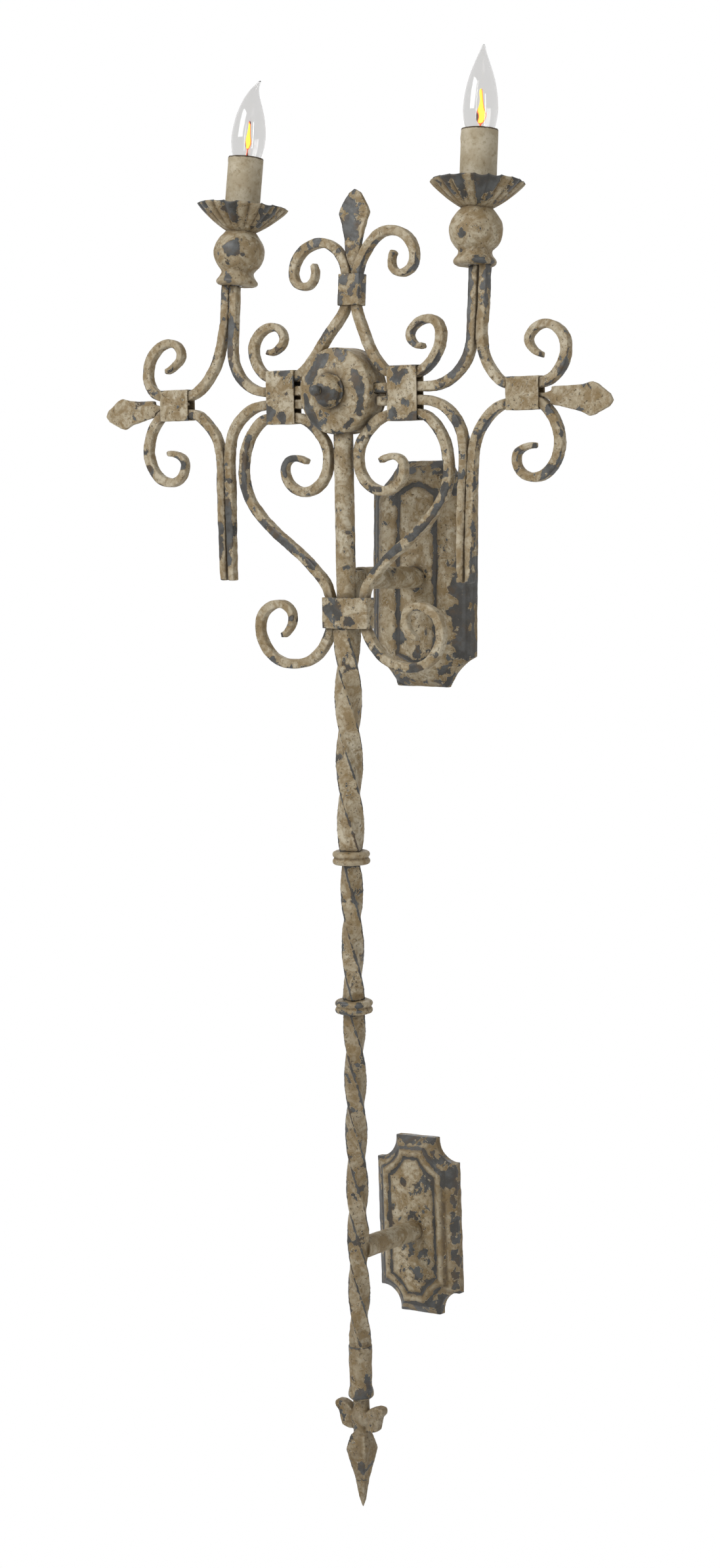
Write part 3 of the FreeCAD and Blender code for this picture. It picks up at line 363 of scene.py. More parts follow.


# %% [markdown]
# ## The paint
#
# Up close the finish has four layers: slate-grey iron, a rust and ochre undercoat that shows at the
# chips' borders, cream paint with a putty cast, and a brown glaze rubbed into every hollow. The
# hollows and the places next to other pieces are also darkened with painted shade. One noise field
# decides where the paint has gone. Where the field just passes its limit there is a pale lip, a
# painted highlight on the paint's edge, and beside it a brown seam, so the colour follows the field
# in narrow bands. The same field gives the bump its step, which is the paint's own thickness.

# %% Helpers for node trees
class Tree:
    """A short hand for building a material's nodes and links."""

    def __init__(self, name):
        self.material = bpy.data.materials.new(name)
        self.material.use_nodes = True
        self.nodes = self.material.node_tree.nodes
        self.links = self.material.node_tree.links
        self.shader = self.nodes["Principled BSDF"]
        self.coords = self.nodes.new("ShaderNodeTexCoord").outputs["Object"]

    def put(self, socket, value):
        if isinstance(value, bpy.types.NodeSocket):
            self.links.new(value, socket)
        elif isinstance(value, tuple) and len(value) == 3 and socket.type == "RGBA":
            socket.default_value = (*value, 1.0)
        else:
            socket.default_value = value

    def math(self, operation, a, b=0.0, clamp=False):
        node = self.nodes.new("ShaderNodeMath")
        node.operation = operation
        node.use_clamp = clamp
        self.put(node.inputs[0], a)
        self.put(node.inputs[1], b)
        return node.outputs[0]

    def noise(self, size, detail=3.0, roughness=0.55, distortion=0.0, coords=None):
        """Noise whose features are about size metres across, from 0 to 1 with a mean of a half."""
        node = self.nodes.new("ShaderNodeTexNoise")
        self.put(node.inputs["Vector"], coords or self.coords)
        self.put(node.inputs["Scale"], 1 / size)
        self.put(node.inputs["Detail"], detail)
        self.put(node.inputs["Roughness"], roughness)
        self.put(node.inputs["Distortion"], distortion)
        return node.outputs["Fac"]

    def attribute(self, name):
        node = self.nodes.new("ShaderNodeAttribute")
        node.attribute_name = name
        return node.outputs["Fac"]

    def ramp(self, value, low, high):
        """0 below low, 1 above high, smooth between."""
        node = self.nodes.new("ShaderNodeMapRange")
        node.interpolation_type = "SMOOTHSTEP"
        self.put(node.inputs["Value"], value)
        self.put(node.inputs["From Min"], low)
        self.put(node.inputs["From Max"], high)
        return node.outputs["Result"]

    def mix(self, share, a, b):
        node = self.nodes.new("ShaderNodeMix")
        node.data_type = "RGBA"
        self.put(node.inputs["Factor"], share)
        self.put(node.inputs["A"], a)
        self.put(node.inputs["B"], b)
        return node.outputs["Result"]

    def bump(self, height, distance, strength=1.0, normal=None):
        node = self.nodes.new("ShaderNodeBump")
        self.put(node.inputs["Height"], height)
        self.put(node.inputs["Distance"], distance)
        self.put(node.inputs["Strength"], strength)
        if normal is not None:
            self.put(node.inputs["Normal"], normal)
        return node.outputs["Normal"]


# %% [markdown]
# The colours are written as the paint's own, measured against the lit parts of the real
# thing and taken down to what a surface reflects.

# %% Aged paint
# The two glaze colours stand for glaze and, where the darkening number drives them, for painted shade;
# SLATE_DARK does so on bare metal, and CREAM_PALE is also the painted highlight on the paint's lip.
CREAM_PALE = (0.50, 0.44, 0.325)
CREAM = (0.385, 0.32, 0.213)
CREAM_PUTTY = (0.272, 0.213, 0.121)
OCHRE_GLAZE_AND_SHADE = (0.19, 0.122, 0.042)
BROWN_GLAZE_AND_SHADE = (0.052, 0.033, 0.014)
SLATE = (0.074, 0.077, 0.075)
SLATE_DARK = (0.033, 0.03, 0.025)
RUST = (0.062, 0.04, 0.019)
PAINT_KEPT = 0.155


def aged_paint(name, chips=0.0):
    """chips moves the limit: above 0 more metal shows."""
    t = Tree(name)
    ridge = t.attribute("ridge")
    grime_and_shade = t.attribute("grime_and_shade")
    bare = t.attribute("bare")
    broad = t.noise(0.034, 3, 0.5)
    ragged = t.noise(0.0085, 9, 0.62, 0.35)
    small = t.noise(0.0028, 6, 0.6)
    field = t.math("MULTIPLY", t.math("SUBTRACT", broad, 0.5), 0.95)
    field = t.math("ADD", field, t.math("MULTIPLY", t.math("SUBTRACT", ragged, 0.5), 1.15))
    field = t.math("ADD", field, t.math("MULTIPLY", t.math("SUBTRACT", small, 0.5), 0.22))
    field = t.math("ADD", field, t.math("MULTIPLY", ridge, 0.07))
    field = t.math("ADD", field, bare)
    field = t.math("ADD", field, chips - PAINT_KEPT)
    gone = t.ramp(field, -0.006, 0.006)
    # A narrow pale band on the paint side of each chip's edge: a painted highlight on the paint's lip.
    lip_highlight = t.math("SUBTRACT", t.ramp(field, -0.045, -0.008), gone, True)
    seam = t.math("SUBTRACT", t.ramp(field, -0.12, -0.02), t.ramp(field, 0.0, 0.05), True)

    tone = t.noise(0.021, 4, 0.6)
    mottle = t.noise(0.0042, 6, 0.65)
    paint = t.mix(t.ramp(tone, 0.36, 0.66), CREAM, CREAM_PALE)
    paint = t.mix(t.ramp(mottle, 0.46, 0.7), paint, CREAM_PUTTY)
    stain = t.noise(0.0125, 7, 0.68, 0.6)
    stain = t.math("MULTIPLY", t.ramp(stain, 0.42, 0.6), 0.8, True)
    paint = t.mix(stain, paint, OCHRE_GLAZE_AND_SHADE)
    # Ochre and dark brown where the darkening number is high: brown glaze in the hollows, and painted shade in
    # hollows and next to other pieces.
    soot_and_shade = t.math("MULTIPLY", grime_and_shade, t.ramp(t.noise(0.005, 5, 0.6), 0.22, 0.54))
    soot_and_shade = t.math("MULTIPLY", soot_and_shade, 0.95, True)
    paint = t.mix(t.math("MULTIPLY", grime_and_shade, 0.55, True), paint, OCHRE_GLAZE_AND_SHADE)
    paint = t.mix(soot_and_shade, paint, BROWN_GLAZE_AND_SHADE)
    pits = t.ramp(t.noise(0.0023, 3, 0.55), 0.62, 0.67)
    paint = t.mix(t.math("MULTIPLY", pits, 0.8), paint, BROWN_GLAZE_AND_SHADE)
    smear = t.ramp(t.noise(0.0065, 8, 0.72, 1.2), 0.53, 0.64)
    paint = t.mix(t.math("MULTIPLY", smear, 0.6), paint, OCHRE_GLAZE_AND_SHADE)
    rubbed = t.math("MULTIPLY", ridge, t.ramp(mottle, 0.42, 0.6))
    paint = t.mix(t.math("MULTIPLY", rubbed, 0.55, True), paint, CREAM_PALE)
    paint = t.mix(t.math("MULTIPLY", seam, 0.8), paint, OCHRE_GLAZE_AND_SHADE)
    # The painted highlight along the lip, in pale cream.
    paint = t.mix(t.math("MULTIPLY", lip_highlight, t.ramp(mottle, 0.4, 0.55)), paint, CREAM_PALE)

    cloud = t.noise(0.011, 5, 0.6)
    metal = t.mix(t.ramp(cloud, 0.4, 0.62), SLATE_DARK, SLATE)
    metal = t.mix(t.ramp(t.noise(0.014, 5, 0.6), 0.5, 0.66), metal, RUST)
    # Bare metal darkens where the darkening number is high: partly dirt, partly painted shade.
    metal = t.mix(t.math("MULTIPLY", grime_and_shade, 0.7, True), metal, SLATE_DARK)
    dust = t.ramp(t.noise(0.0011, 4, 0.6), 0.58, 0.75)
    metal = t.mix(t.math("MULTIPLY", dust, 0.28), metal, CREAM_PUTTY)

    t.put(t.shader.inputs["Base Color"], t.mix(gone, paint, metal))
    rough = t.math("SUBTRACT", 0.64, t.math("MULTIPLY", gone, 0.2))
    t.put(t.shader.inputs["Roughness"], t.math("ADD", rough, t.math("MULTIPLY", mottle, 0.08)))
    skin = t.math("ADD", t.math("MULTIPLY", mottle, 0.55), t.math("MULTIPLY", t.noise(0.0013, 3, 0.6), 0.22))
    skin = t.math("SUBTRACT", skin, t.math("MULTIPLY", pits, 0.25))
    dents = t.bump(skin, 0.45 * MM, 0.8)
    edge = t.math("SUBTRACT", t.math("MULTIPLY", lip_highlight, 0.35), gone)
    t.put(t.shader.inputs["Normal"], t.bump(edge, 0.3 * MM, 0.9, dents))
    return t.material


iron_paint = aged_paint("aged_cream_iron")
pan_paint = aged_paint("aged_cream_pan", chips=0.02)
print("paints:", iron_paint.name, "and", pan_paint.name)

# %% [markdown]
# ## The ironwork
#
# Each entry below is one family of pieces: the size of its cells, how many rounds of smoothing
# round its edges, how deep its dents are, and how bare it is. A thin strap needs smaller cells than
# a thick bar, or the remesh would tear its wall.

# %% Forge every iron piece
FORGED = {
    "heart_bar": dict(cell=1.0, rounds=6, depth=0.35, level=-0.17, under=0.08, aside=0.36),
    "fleur_bar": dict(cell=1.0, rounds=6, depth=0.35, level=-0.15, under=0.08, aside=0.36),
    "arm_inner": dict(cell=1.0, rounds=6, depth=0.3, level=-0.15, under=0.08, aside=0.34),
    "arm_outer": dict(cell=1.0, rounds=6, depth=0.35, level=-0.15, under=0.08, aside=0.32),
    "drop_inner": dict(cell=1.0, rounds=6, depth=0.35, level=-0.12, under=0.05, aside=0.28),
    "drop_outer": dict(cell=1.0, rounds=6, depth=0.35, level=-0.14, under=0.08, aside=0.34),
    "inner_strap": dict(cell=0.62, rounds=4, depth=0.2, level=0.02, under=0.05),
    "side_strap": dict(cell=0.62, rounds=4, depth=0.2, level=0.0, under=0.02),
    "candle_cup": dict(cell=0.8, rounds=4, depth=0.4, level=-0.12)}
OUTWARD = ("arm_outer_right", "drop_outer_right", "fleur_bar_right")
FORGED_ALONE = {
    "finial_top": dict(cell=0.7, rounds=5, depth=0.45, level=0.06),
    "finial_left": dict(cell=0.7, rounds=6, depth=0.35, level=-0.08),
    "finial_right": dict(cell=0.7, rounds=6, depth=0.35, level=-0.08),
    "top_strap": dict(cell=0.62, rounds=4, depth=0.2, level=0.05),
    "bottom_band": dict(cell=0.62, rounds=4, depth=0.2, level=0.04),
    "shaft_pipe": dict(cell=0.9, rounds=4, depth=0.25, level=-0.05),
    "twist_upper": dict(cell=0.9, rounds=3, depth=0.3, level=-0.08, edge=0.3),
    "twist_middle": dict(cell=0.9, rounds=3, depth=0.3, level=-0.06, edge=0.3, stain=0.08),
    "collar_upper": dict(cell=0.7, rounds=3, depth=0.3, level=-0.15),
    "collar_lower": dict(cell=0.7, rounds=3, depth=0.3, level=0.05),
    "rosette_cover": dict(cell=0.8, rounds=3, depth=0.3, level=-0.05),
    "rosette_back": dict(cell=0.62, rounds=3, depth=0.15, level=0.0),
    "rosette_knob": dict(cell=0.5, rounds=4, depth=0.15, level=0.12),
    "standoff_lug": dict(cell=0.8, rounds=5, depth=0.25, level=-0.05),
    "upper_standoff": dict(cell=0.8, rounds=4, depth=0.3, level=-0.08),
    "lower_standoff": dict(cell=0.8, rounds=4, depth=0.3, level=-0.08, stain=0.15)}
DENT_SIZE = 9.0 * MM


KNOT_HEIGHT = -697.0 * MM
KNOT_SIZE = (11.5, 7.6, 10.5)
ARM_STRETCH = 2.4 * MM
STRETCH_FROM, STRETCH_OVER = -9.0, 8.0


def blanks(nodes, knot):
    """Several solids in one skin; a remesh melts them into each other where they meet. A knot joins
    the spear's two leaves across its neck."""
    bm = bmesh.new()
    for node in nodes:
        bm.from_mesh(frame["nodes"][node].data)
    bmesh.ops.remove_doubles(bm, verts=bm.verts, dist=0.002 * MM)
    if knot:
        ball = bmesh.ops.create_uvsphere(bm, u_segments=32, v_segments=20, radius=MM)
        stand = Matrix.Translation(IRON_ORIGIN) @ Matrix.Rotation(SHAFT_LEAN, 4, "X")
        place = stand @ Matrix.Translation((0, 0, KNOT_HEIGHT)) @ Matrix.Diagonal((*KNOT_SIZE, 1.0))
        bmesh.ops.transform(bm, verts=ball["verts"], matrix=place)
    return bm


def forge(nodes, cell, rounds, depth, level, under=0.0, edge=0.0, aside=0.0, stain=0.0, stretch=None,
          knot=False):
    piece = as_piece(blanks(nodes, knot), nodes[0] + "_iron")
    remesh(piece, cell * MM)
    rework(piece, rounds, depth * MM, DENT_SIZE)
    if stretch:
        stretch(piece.data)
    note_wear_and_shade(piece, nodes, level, under, edge, aside, 1 if nodes[0] in OUTWARD else -1, stain)
    piece.data.materials.append(iron_paint)
    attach(piece, frame["nodes"][nodes[0]]["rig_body"])
    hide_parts(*nodes)
    return piece


def into_the_cup(side):
    """Draws out a bar's upper end, so that it runs into the candle's foot."""
    home = candle_frame(side).inverted()

    def stretch(mesh):
        for vert in mesh.vertices:
            local = home @ vert.co
            reach = min(max(local.z / MM - STRETCH_FROM, 0.0) / STRETCH_OVER, 1.0)
            if reach > 0:
                local.z += ARM_STRETCH * reach
                vert.co = home.inverted() @ local
    return stretch


forged = {}
for stem, recipe in FORGED.items():
    for side in SIDES:
        stretch = into_the_cup(side) if stem == "arm_outer" else None
        forged[f"{stem}_{side}"] = forge([f"{stem}_{side}"], **recipe, stretch=stretch)
for node, recipe in FORGED_ALONE.items():
    forged[node] = forge([node], **recipe)
forged["twist_lower"] = forge(["twist_lower", "ferrule"], cell=0.85, rounds=4, depth=0.4, level=-0.02,
                              edge=0.26, stain=0.22)
forged["spear"] = forge(["spear", "spear_leaves"], cell=0.7, rounds=9, depth=0.45, level=-0.06, under=0.05,
                        aside=0.16, stain=0.42, knot=True)
cells = sum(len(piece.data.polygons) for piece in forged.values())
print(len(forged), "iron pieces,", cells, "cells in all")

# %% [markdown]
# ## The wall plates
#
# A pressed plate has a groove or a bead that follows its panel, and there the glaze gathers, painted
# shade darkens the groove, and the paint wears through. The frame's plate has the outline, the
# sloped flank and the flat panel. Here the distance from a long eight-sided line in the panel says
# where the skin moves in or out. Both skins of the wall move together, so it keeps its thickness.

# %% Plates with a groove and a bead
PLATES = {
    "upper_plate": dict(cell=1.0, centre=(0.5, 0.0), turn=0.0, half=(19.5, 77.0), slope=0.48, panel_y=-19.5,
                        rim=(15.0, 0.1, 0.7),
                        press=[(0.0, 3.6, 1.5, 0.5), (-6.5, 3.0, -0.4, -0.1), (-25.5, 2.2, 0.9, 0.4),
                               (-31.0, 1.6, 0.5, 0.3)]),
    "lower_plate": dict(cell=0.8, centre=(-1.7, -575.5), turn=-2.5, half=(28.2, 65.0), corner=21.0,
                        panel_y=-17.0, rim=(5.0, 0.05, 0.6),
                        press=[(0.0, 2.6, -1.1, -0.35), (4.6, 2.6, 0.7, 0.42), (-4.4, 2.4, 0.8, 0.42)])}
PLATE_ROUNDS = 3
PLATE_DENT_DEPTH = 0.35 * MM
PLATE_DENT_SIZE = 14 * MM
FLANK_BARE = 0.2
SCREW_SPOT = Vector((-12.4, -16.2, -536.6)) * MM
SCREW_R = 4.4 * MM
PLUG_DEPTH = 1.5 * MM


def panel_distance(points, spec):
    """Millimetres from the line round the panel, along the plate's face, more towards its middle."""
    turn = math.radians(spec["turn"])
    x = points[:, 0] / MM - spec["centre"][0]
    z = points[:, 2] / MM - spec["centre"][1]
    across = np.abs(x * math.cos(turn) - z * math.sin(turn))
    along = np.abs(x * math.sin(turn) + z * math.cos(turn))
    inside = np.minimum(spec["half"][0] - across, spec["half"][1] - along)
    if "corner" in spec:
        inset = 14.0
        bite = np.hypot(spec["half"][0] + inset - across, spec["half"][1] + inset - along)
        return np.minimum(inside, bite - spec["corner"] - inset)
    slope = spec["slope"]
    return np.minimum(inside, (spec["half"][1] + slope * 4 - along - slope * across) / math.hypot(1, slope))


def band(distance, middle, half_width):
    """1 on the band's middle line and 0 from half_width on, with soft shoulders."""
    t = np.clip(1 - np.abs(distance - middle) / half_width, 0, 1)
    return t * t * (3 - 2 * t)


def filled_screw_hole(bm):
    """A flush plug, so that the wall's light doesn't show through the plate."""
    plug = bmesh.ops.create_cone(bm, cap_ends=True, segments=24, radius1=SCREW_R, radius2=SCREW_R,
                                 depth=PLUG_DEPTH)
    place = Matrix.Translation(SCREW_SPOT) @ Matrix.Rotation(math.radians(90), 4, "X")
    bmesh.ops.transform(bm, verts=plug["verts"], matrix=place)


def press_plate(node, spec):
    bm = blank(node)
    if node == "lower_plate":
        filled_screw_hole(bm)
    piece = as_piece(bm, node + "_pressed")
    remesh(piece, spec["cell"] * MM)
    rework(piece, PLATE_ROUNDS, PLATE_DENT_DEPTH, PLATE_DENT_SIZE)
    points, normals, _ = vertex_arrays(piece.data)
    distance = panel_distance(points, spec)
    raised = np.clip((-points[:, 1] / MM - 3.0) / 2.0, 0, 1)
    push = sum(depth * band(distance, middle, width) for middle, width, depth, _ in spec["press"])
    points[:, 1] = np.minimum(points[:, 1] + push * raised * MM, -0.02 * MM)
    piece.data.vertices.foreach_set("co", points.ravel())
    piece.data.update()

    rim_from, rim_bare, rim_darkening = spec["rim"]
    rim = np.clip((-distance - rim_from) / 10.0, 0, 1)

    def worn(places):
        flank = np.clip(1 - np.abs(places[:, 1] / MM - spec["panel_y"] * 0.55) / 7.0, 0, 1)
        lost = FLANK_BARE * flank * (normals[:, 1] > -0.93) + rim_bare * rim
        for middle, width, _, amount in spec["press"]:
            lost = lost + amount * band(distance, middle, width) * raised
        return lost

    note_wear_and_shade(piece, [node], -0.03, 0.0, extra=worn)
    # The grooves darken as glaze and painted shade, and the colour darkens towards the plate's rim.
    grime_and_shade = stored(piece.data, "grime_and_shade")
    for middle, width, depth, _ in spec["press"]:
        if depth > 0:
            grime_and_shade = np.maximum(grime_and_shade, 0.9 * band(distance, middle, width * 1.6) * raised)
    grime_and_shade = np.maximum(grime_and_shade, rim_darkening * rim)
    store(piece.data, "grime_and_shade", grime_and_shade)
    piece.data.materials.append(iron_paint)
    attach(piece, "sconce")
    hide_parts(node)
    print(node, "has", len(piece.data.polygons), "cells")


for node, spec in PLATES.items():
    press_plate(node, spec)

# %% [markdown]
# ## The drip pans
#
# Each pan is a thin dish pressed into petals: rounded on the outside, with a sharp crease between
# two petals and a slightly ragged rim. A profile spun round the candle's axis gives the dish, and
# each vertex then moves out along the skin by a half wave that starts again at every crease.

# %% Fluted pans
PAN_PROFILE = [(5.2, 46.6), (9.0, 46.6), (12.4, 46.5), (16.0, 48.6), (20.0, 51.2), (24.0, 54.1), (28.0, 57.4),
               (31.5, 60.4), (35.0, 63.6), (37.0, 65.8), (37.9, 67.0)]
PETALS = 21
STEPS_PER_PETAL = 10
PETAL_DEPTH = 2.2 * MM
PETALS_FROM, PETALS_FULL = 12.4, 36.4
PETAL_LENGTHS = (-1.4, 0.1)
PAN_WALL = 0.9 * MM
PAN_RIM_HEIGHT, PAN_RIM_FADE, PAN_RIM_BARE = 65.8, 1.6, 0.34


def spun(profile, steps):
    """A skin spun from (radius, height) millimetres about Z, in a candle's own frame."""
    bm = bmesh.new()
    verts = [bm.verts.new((r * MM, 0, z * MM)) for r, z in profile]
    edges = [bm.edges.new(pair) for pair in zip(verts, verts[1:])]
    bmesh.ops.spin(bm, geom=verts + edges, cent=(0, 0, 0), axis=(0, 0, 1), angle=math.tau, steps=steps,
                   use_merge=True)
    bmesh.ops.remove_doubles(bm, verts=bm.verts, dist=0.001 * MM)
    bmesh.ops.recalc_face_normals(bm, faces=bm.faces)
    return bm


def make_pan(side):
    draw = random.Random("pan " + side)
    length = [draw.uniform(*PETAL_LENGTHS) * MM for _ in range(PETALS)]
    worn = [draw.random() for _ in range(PETALS)]
    bm = spun(PAN_PROFILE, PETALS * STEPS_PER_PETAL)
    bare = {}
    crease = {}
    for vert in bm.verts:
        radius = math.hypot(vert.co.x, vert.co.y)
        turn = (math.atan2(vert.co.y, vert.co.x) / math.tau + 0.5) * PETALS
        petal = int(turn) % PETALS
        wave = math.sin(math.pi * (turn % 1.0)) ** 0.75
        reach = min(max((radius / MM - PETALS_FROM) / (PETALS_FULL - PETALS_FROM), 0.0), 1.0)
        out = Vector((vert.co.x, vert.co.y, 0)).normalized()
        push = (out - Vector((0, 0, 0.35))).normalized()
        vert.co += push * PETAL_DEPTH * reach * (wave - 0.75)
        vert.co += (out + Vector((0, 0, 0.8))) * length[petal] * wave * reach ** 3
        crease[vert.index] = (1 - wave) ** 1.4 * min(reach * 2.5, 1)
        bare[vert.index] = (worn[petal] - 0.52) * 0.9 * reach * wave
    bm.verts.index_update()
    crease_layer = bm.verts.layers.float.new("crease")
    worn_layer = bm.verts.layers.float.new("worn")
    for vert in bm.verts:
        vert[crease_layer] = crease[vert.index]
        vert[worn_layer] = bare[vert.index]
    bmesh.ops.solidify(bm, geom=bm.faces, thickness=PAN_WALL)
    bmesh.ops.recalc_face_normals(bm, faces=bm.faces)
    bm.transform(candle_frame(side))
    piece = as_piece(bm, f"pan_{side}_fluted")
    note_wear_and_shade(piece, ["bobeche_" + side], level=0.02)
    local = np.array(candle_frame(side).inverted())
    height = (vertex_arrays(piece.data)[0] @ local[:3, :3].T + local[:3, 3])[:, 2] / MM
    rim = np.clip((height - PAN_RIM_HEIGHT) / PAN_RIM_FADE, 0, 1)
    lost = stored(piece.data, "worn") + PAN_RIM_BARE * rim
    store(piece.data, "bare", stored(piece.data, "bare") + lost)
    # The creases between petals are darkened with the rest: painted shade in the folds.
    dirt_and_shade = np.maximum(stored(piece.data, "grime_and_shade"), stored(piece.data, "crease"))
    store(piece.data, "grime_and_shade", np.clip(dirt_and_shade, 0, 1))
    piece.data.materials.append(pan_paint)
    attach(piece, "sconce")
    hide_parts("bobeche_" + side)
    return piece


pans = [make_pan(side) for side in SIDES]
print("each pan has", PETALS, "petals and", len(pans[0].data.polygons), "faces")

# %% [markdown]
# ## The candle sleeves
#
# A sleeve is a thin tube painted to pass for a wax candle: cream, dirty, with a brown burnt rim
# that is never quite level, and a drip or two. It is spun with its wall, then pushed about a little.

# %% Sleeves
SLEEVE_R = 14.95
SLEEVE_BORE_R = 13.9
SLEEVE_FOOT = 50.6
SLEEVE_TOP = 108.0
SLEEVE_SHIFT = {"left": -0.6, "right": 0.0}
SLEEVE_ROWS = 30
DRIPS = {"left": [(200, 106.2, 3.0, 1.1), (170, 107.2, 2.0, 0.6)], "right": [(196, 101.5, 3.4, 1.0)]}


def sleeve_paint():
    t = Tree("candle_sleeve")
    burnt = t.attribute("burnt")
    grime_and_shade = t.attribute("grime_and_shade")
    tone = t.noise(0.016, 4, 0.6)
    mottle = t.noise(0.0035, 7, 0.66)
    paint = t.mix(t.ramp(tone, 0.38, 0.62), CREAM, CREAM_PALE)
    paint = t.mix(t.ramp(mottle, 0.48, 0.74), paint, CREAM_PUTTY)
    smear = t.ramp(t.noise(0.011, 7, 0.7, 0.8), 0.56, 0.72)
    paint = t.mix(t.math("MULTIPLY", smear, 0.45), paint, OCHRE_GLAZE_AND_SHADE)
    # Ochre where the sleeve meets other pieces and in its hollows: partly glaze, partly painted shade.
    paint = t.mix(t.math("MULTIPLY", grime_and_shade, 0.6, True), paint, OCHRE_GLAZE_AND_SHADE)
    specks = t.ramp(t.noise(0.0019, 3, 0.6), 0.66, 0.72)
    paint = t.mix(t.math("MULTIPLY", specks, 0.55), paint, BROWN_GLAZE_AND_SHADE)
    edge = t.math("ADD", burnt, t.math("MULTIPLY", t.math("SUBTRACT", mottle, 0.5), 0.9))
    paint = t.mix(t.ramp(edge, 0.35, 0.62), paint, BROWN_GLAZE_AND_SHADE)
    t.put(t.shader.inputs["Base Color"], paint)
    t.put(t.shader.inputs["Roughness"], t.math("ADD", 0.62, t.math("MULTIPLY", mottle, 0.2)))
    grain = t.math("ADD", mottle, t.math("MULTIPLY", t.noise(0.0012, 3, 0.6), 0.4))
    t.put(t.shader.inputs["Normal"], t.bump(grain, 0.3 * MM, 0.7))
    return t.material


sleeve_finish = sleeve_paint()


def make_sleeve(side):
    rise = SLEEVE_TOP - SLEEVE_FOOT
    outside = [(SLEEVE_R, SLEEVE_FOOT + rise * i / SLEEVE_ROWS) for i in range(SLEEVE_ROWS)]
    inside = [(SLEEVE_BORE_R, height) for height in (SLEEVE_TOP - 0.5, SLEEVE_FOOT + 20, SLEEVE_FOOT)]
    lip_highlight = [(SLEEVE_R, SLEEVE_TOP - 0.6), (SLEEVE_R - 0.2, SLEEVE_TOP), (SLEEVE_BORE_R + 0.2, SLEEVE_TOP)]
    bm = spun(outside + lip_highlight + inside + [(SLEEVE_R, SLEEVE_FOOT)], 96)
    for vert in bm.verts:
        angle = math.degrees(math.atan2(vert.co.y, vert.co.x)) % 360
        height = vert.co.z / MM
        out = Vector((vert.co.x, vert.co.y, 0)).normalized()
        skin = vert.co.xy.length / MM > SLEEVE_R - 0.6
        p = vert.co * 90
        near_rim = max(0.0, 1 - (SLEEVE_TOP - height) / 4)
        vert.co.z += near_rim * 0.45 * MM * noise.noise(Vector((out.x * 2.1, out.y * 2.1, 3.0 * SIDES[side])))
        if skin:
            vert.co += out * 0.16 * MM * noise.noise(p)
            for drip_angle, drip_height, reach, swell in DRIPS[side]:
                off = math.hypot(math.radians(angle - drip_angle) * SLEEVE_R, (height - drip_height) * 0.8)
                vert.co += out * swell * MM * math.exp(-(off / reach) ** 2)
    burnt_from = SLEEVE_TOP - 2.0
    layer = bm.verts.layers.float.new("burnt")
    for vert in bm.verts:
        vert[layer] = min(max((vert.co.z / MM - burnt_from) / 2.2, 0), 1) + 0.1
    bm.transform(candle_frame(side) @ Matrix.Translation((SLEEVE_SHIFT[side] * MM, 0, 0)))
    piece = as_piece(bm, f"sleeve_{side}_painted")
    note_wear_and_shade(piece, ["sleeve_" + side])
    piece.data.materials.append(sleeve_finish)
    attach(piece, "sleeve_" + side)
    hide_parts("sleeve_" + side)
    return piece


sleeves = [make_sleeve(side) for side in SIDES]
print("a sleeve has", len(sleeves[0].data.polygons), "faces")

# %% [markdown]
# ## The bulbs
#
# The glass is a thin-walled candle-flame shape with a drawn-off tip that bends to one side. It is
# spun from its outline, given its wall with solidify, and smoothed by a subdivision surface, so
# that the reflections run down it without a break.

# %% Glass
CAP_TOP = 95.0
BULB_WIDEST = 123.5
BULB_TIP = {"left": 172.5, "right": 175.5}
BULB_R = {"left": 15.2, "right": 14.8}
TIP_BEND = {"left": 7.0, "right": 0.8}
GLASS_LEAN = {"left": math.radians(1.0), "right": 0.0}
BULB_BELOW = [(0.0, 0.40), (0.10, 0.56), (0.32, 0.74), (0.55, 0.87), (0.78, 0.96), (1.0, 1.0)]
BULB_ABOVE = [(0.10, 0.985), (0.22, 0.94), (0.36, 0.86), (0.52, 0.71), (0.66, 0.535), (0.78, 0.37),
              (0.88, 0.22), (0.95, 0.115), (0.985, 0.075), (1.0, 0.03)]
GLASS_WALL = 0.7 * MM


def clear_glass():
    t = Tree("bulb_glass")
    t.put(t.shader.inputs["Base Color"], (0.8, 0.795, 0.79))
    t.shader.inputs["Transmission Weight"].default_value = 1.0
    t.shader.inputs["Roughness"].default_value = 0.02
    t.shader.inputs["IOR"].default_value = 1.45
    ripple = t.noise(0.02, 2, 0.4)
    t.put(t.shader.inputs["Normal"], t.bump(ripple, 0.3 * MM, 0.25))
    return t.material


glass = clear_glass()


def make_glass(side):
    below = BULB_WIDEST - CAP_TOP
    above = BULB_TIP[side] - BULB_WIDEST
    outline = [(share * BULB_R[side], CAP_TOP + t * below) for t, share in BULB_BELOW]
    outline += [(share * BULB_R[side], BULB_WIDEST + t * above) for t, share in BULB_ABOVE]
    outline = [(0.0, CAP_TOP)] + outline + [(0.0, BULB_TIP[side])]
    bm = spun(outline, 32)
    bmesh.ops.solidify(bm, geom=bm.faces, thickness=GLASS_WALL)
    for vert in bm.verts:
        t = (vert.co.z / MM - BULB_WIDEST) / above
        bend = max(0.0, (t - 0.7) / 0.3)
        vert.co.x += TIP_BEND[side] * MM * bend ** 2
    crooked = Matrix.Translation((0, 0, CAP_TOP * MM)) @ Matrix.Rotation(GLASS_LEAN[side], 4, "Y")
    bm.transform(candle_frame(side) @ crooked @ Matrix.Translation((0, 0, -CAP_TOP * MM)))
    piece = as_piece(bm, f"bulb_glass_{side}_blown")
    smooth = piece.modifiers.new("smooth", "SUBSURF")
    smooth.levels = smooth.render_levels = 2
    piece.data.materials.append(glass)
    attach(piece, "bulb_" + side)
    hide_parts("bulb_glass_" + side)
    return piece


